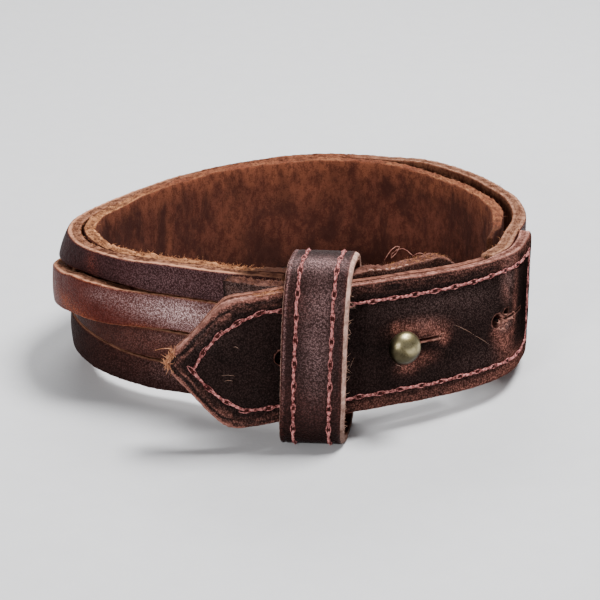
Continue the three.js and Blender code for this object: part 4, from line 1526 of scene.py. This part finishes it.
def rim_fibres(line, count, stretch, across, height, reach, dice, onward=1.0, lift=(0.0, 0.5)):
    """Fibres pulled loose along a raw edge, lying mostly along it."""
    paths = []
    for _ in range(count):
        along = dice.uniform(*stretch)
        out = dice.uniform(*across)
        out_way, on_way = line.ways(along)
        way = (on_way * dice.uniform(-onward, onward) + out_way * dice.uniform(-0.5, 0.5)
               + Vector((0, 0, dice.uniform(*lift))))
        foot = line.spot(along, out, height(along) + dice.uniform(-0.12, 0.05))
        paths.append(fibre(foot, way.normalized(), dice.uniform(*reach), dice))
    return paths


def level_rim(along):
    """The height that fibres spring from on the body's level rims."""
    return BODY_WIDTH - 0.02


def tongue_rim(along):
    """The height that fibres spring from on the tongue's rim."""
    return BODY_WIDTH / 2 * (1 + tongue_share(along)) + tongue_rise(along) - 0.08


def make_rim_fibres(dice):
    """Tan fibres on the pale rims, and brown ones on the dark rims."""
    def band_end(along):
        return dice.uniform(17.5, 20.0)

    strand_rim, end = eased(STRANDS["strand_top"], 3), BAND_LINE.length
    liner, band, strap = -LINER_THICK, -BAND_THICK, -STRAP_FACE_THICK
    # each row: line, count, stretch along it, stretch across it, height, length, and how they lie
    tan_rows = [
        (LINER_LINE, 560, (4, 52), (liner, -0.2), level_rim, (0.2, 0.6), {"lift": (-0.1, 0.35)}),
        (LINER_LINE, 110, (6, 26), (liner - 0.1, -0.4), level_rim, (0.3, 0.8), {"lift": (0.1, 0.6)}),
        (LINER_LINE, 120, (30, 58), (0.3, 2.3), strand_rim, (0.2, 0.5), {}),
        (BAND_LINE, 160, (34, end - 0.5), (band, -0.1), level_rim, (0.2, 0.5), {}),
        (BAND_LINE, 90, (end - 0.5, end), (band, 0.0), band_end, (0.3, 0.8), {"onward": 1.4}),
        (STRAP_LINE, 320, (45, 58), (strap, -0.1), strap_high, (0.2, 0.6), {}),
        (TONGUE_LINE, 300, (2.5, 12.5), (0.2, TONGUE_THICK - 0.3), tongue_rim, (0.2, 0.55), {}),
    ]
    brown_rows = [
        (TONGUE_LINE, 420, (26, 36.8), (0.1, TONGUE_THICK), tongue_rim, (0.25, 0.7), {}),
        (TONGUE_LINE, 420, (1, 18), (0.1, TONGUE_THICK), tongue_rim, (0.25, 0.8), {}),
        (LINER_LINE, 560, (52, 160), (liner - 0.1, -0.1), level_rim, (0.25, 0.7), {}),
        (STRAP_LINE, 260, (8, 45), (strap, -0.1), strap_high, (0.15, 0.4), {}),
    ]
    tan = [path for *row, ways in tan_rows for path in rim_fibres(*row, dice, **ways)]
    draw_threads("tan_rim_fibres", tan, 0.045, "fibre")
    brown = [path for *row, ways in brown_rows for path in rim_fibres(*row, dice, **ways)]
    draw_threads("brown_rim_fibres", brown, 0.04, "mat")


def make_tip_tuft(dice):
    """Short matted fibres that hug the strap's tip, and three longer ones."""
    tip, tuft = STRAP_LINE.length, []
    outward, onward = STRAP_LINE.ways(tip)
    for _ in range(420):
        up = 9.9 + dice.uniform(-1.5, 1.9) * dice.uniform(0.5, 1.0)
        foot = STRAP_LINE.spot(tip - 0.1 - abs(up - 9.45) * 0.5, dice.uniform(-1.2, -0.1), up)
        foot += onward * 0.45 * abs(dice.gauss(0, 0.7))
        way = onward * dice.uniform(-0.6, 0.9) + outward * dice.uniform(-0.6, 0.8)
        way += Vector((0, 0, dice.uniform(-1.2, 1.2)))
        tuft.append(fibre(foot, way.normalized(), dice.uniform(0.15, 0.42), dice, curl=2.2))
    for k in range(3):
        foot = STRAP_LINE.spot(tip - 0.4, -0.3, 10.2 + 0.8 * k)
        way = Vector((-0.8, -0.5, 0.35 + 0.2 * k))
        tuft.append(fibre(foot, way, 1.1 + 0.2 * k, dice, curl=0.8))
    draw_threads("tip_tuft", tuft, 0.085, "tuft")


# The pulled thread's path over the tongue's rim, as (along, up).
PULLED_LOOPS = [
    (13.3, 22.1), (12.9, 22.9), (12.3, 23.6), (11.4, 23.95), (10.6, 23.7), (11.2, 22.7), (12.1, 22.2),
    (12.2, 22.9), (11.3, 23.5), (10.2, 23.45), (9.3, 22.9), (8.6, 22.2), (8.2, 21.9),
]


def make_pulled_thread():
    """A thread pulled out of the tongue's rim in loops, and its end lying along the rim."""
    loops = [(TONGUE_LINE.spot(along, 1.3 + 0.25 * math.sin(k), up), 1.0)
             for k, (along, up) in enumerate(PULLED_LOOPS)]
    loose_end = [(TONGUE_LINE.spot(6.5 + 0.35 * k, 1.4 - 0.1 * k, 21.9 + 0.28 * math.sin(k * 0.8)), 0.8)
                 for k in range(6)]
    draw_threads("pulled_thread", [loops, loose_end], 0.055, "torn")


def make_tongue_stitches(dice):
    """A short row of pale stitches over the tongue's rim."""
    dashes = []
    for k in range(6):
        start, reach, side = 9.6 + 1.2 * k, dice.uniform(0.6, 0.95), dice.uniform(0.1, 0.3)
        dash = []
        for share in (0, 0.3, 0.7, 1.0):
            along = start + reach * share
            up = tongue_rim(along) + 0.11 * math.sin(share * math.pi)
            dash.append((TONGUE_LINE.spot(along, TONGUE_THICK - side, up), 1.0))
        dashes.append(dash)
    draw_threads("tongue_stitches", dashes, 0.12, "dash", sides=1)


# Fibres torn up round the third hole: along from it, up, how wide a ring, and how many.
TORN_RINGS = [(-0.9, 9.3, 0.8, 24), (-1.7, 10.2, 0.5, 9), (-3.8, 10.0, 0.5, 5)]


def make_torn_lips(dice):
    """The doubled lower lip of the stud's slit, its torn end, and the fibres round the third hole."""
    middle, slit_end = BODY_WIDTH / 2, STUD_AT - SLIT_LENGTH - 0.1
    torn = []
    for low in (0.04, 0.15):
        edge = middle - SLIT_WIDTH / 2 - low
        torn.append([(on_strap(STUD_AT - 2.4 - 0.5 * k, edge - 0.03 * math.sin(k), 0.02),
                      0.75 + 0.25 * math.sin(k * 0.6 + low)) for k in range(11)])
    torn.append([(on_strap(slit_end + 0.6 * math.cos(k * 0.5), middle + 0.42 * math.sin(k * 0.5), 0.01), 0.7)
                 for k in range(-4, 5)])
    for beside, level, width, count in TORN_RINGS:
        along = THIRD_HOLE_AT + beside
        outward, _ = STRAP_LINE.ways(along)
        for _ in range(count):
            turn = dice.uniform(0, 6.28)
            spot = on_strap(along + width * math.cos(turn), level + width * math.sin(turn), -0.02)
            way = outward * dice.uniform(0.2, 0.9) + Vector((dice.uniform(-1, 1), 0, dice.uniform(-1, 1)))
            torn.append(fibre(spot, way.normalized(), dice.uniform(0.25, 0.6), dice, curl=0.5))
    draw_threads("torn_lips", torn, 0.075, "torn")


# Hairs and scratches on the strap's face: from, to.
FACE_HAIRS = [
    ((43.8, 7.4), (43.1, 9.0)), ((36.2, 6.6), (35.0, 6.0)), ((63.4, 8.1), (61.4, 7.9)),
    ((63.0, 7.2), (61.8, 7.15)), ((25.9, 11.3), (22.0, 8.8)), ((22.4, 9.0), (18.8, 6.4)),
    ((61.6, 12.6), (60.9, 12.3)),
]


def make_fine_hairs(dice):
    """Hairs on the strap's face, and short ones along the keeper's right edge."""
    hairs = []
    for (along, up), (far, high) in FACE_HAIRS:
        hair = []
        for share in (0, 0.25, 0.5, 0.75, 1):
            level = up + (high - up) * share + 0.12 * math.sin(share * 3.1)
            spot = on_strap(along + (far - along) * share, level, -0.005)
            hair.append((spot, 0.4 + 0.6 * math.sin(share * math.pi)))
        hairs.append(hair)
    for _ in range(46):
        along = dice.uniform(-14, 13)
        foot = on_keeper(0.12 - KEEPER_WIDTH / 2, along, -dice.uniform(0.0, 0.9))
        way = Vector((0.8, dice.uniform(-0.6, 0.4), dice.uniform(-0.8, 0.8)))
        hairs.append(fibre(foot, way, dice.uniform(0.25, 0.75), dice))
    draw_threads("fine_hairs", hairs, 0.028, "hair")


dice = random.Random(21)
make_rim_fibres(dice)
make_tip_tuft(dice)
make_pulled_thread()
make_tongue_stitches(dice)
make_torn_lips(dice)
make_fine_hairs(dice)
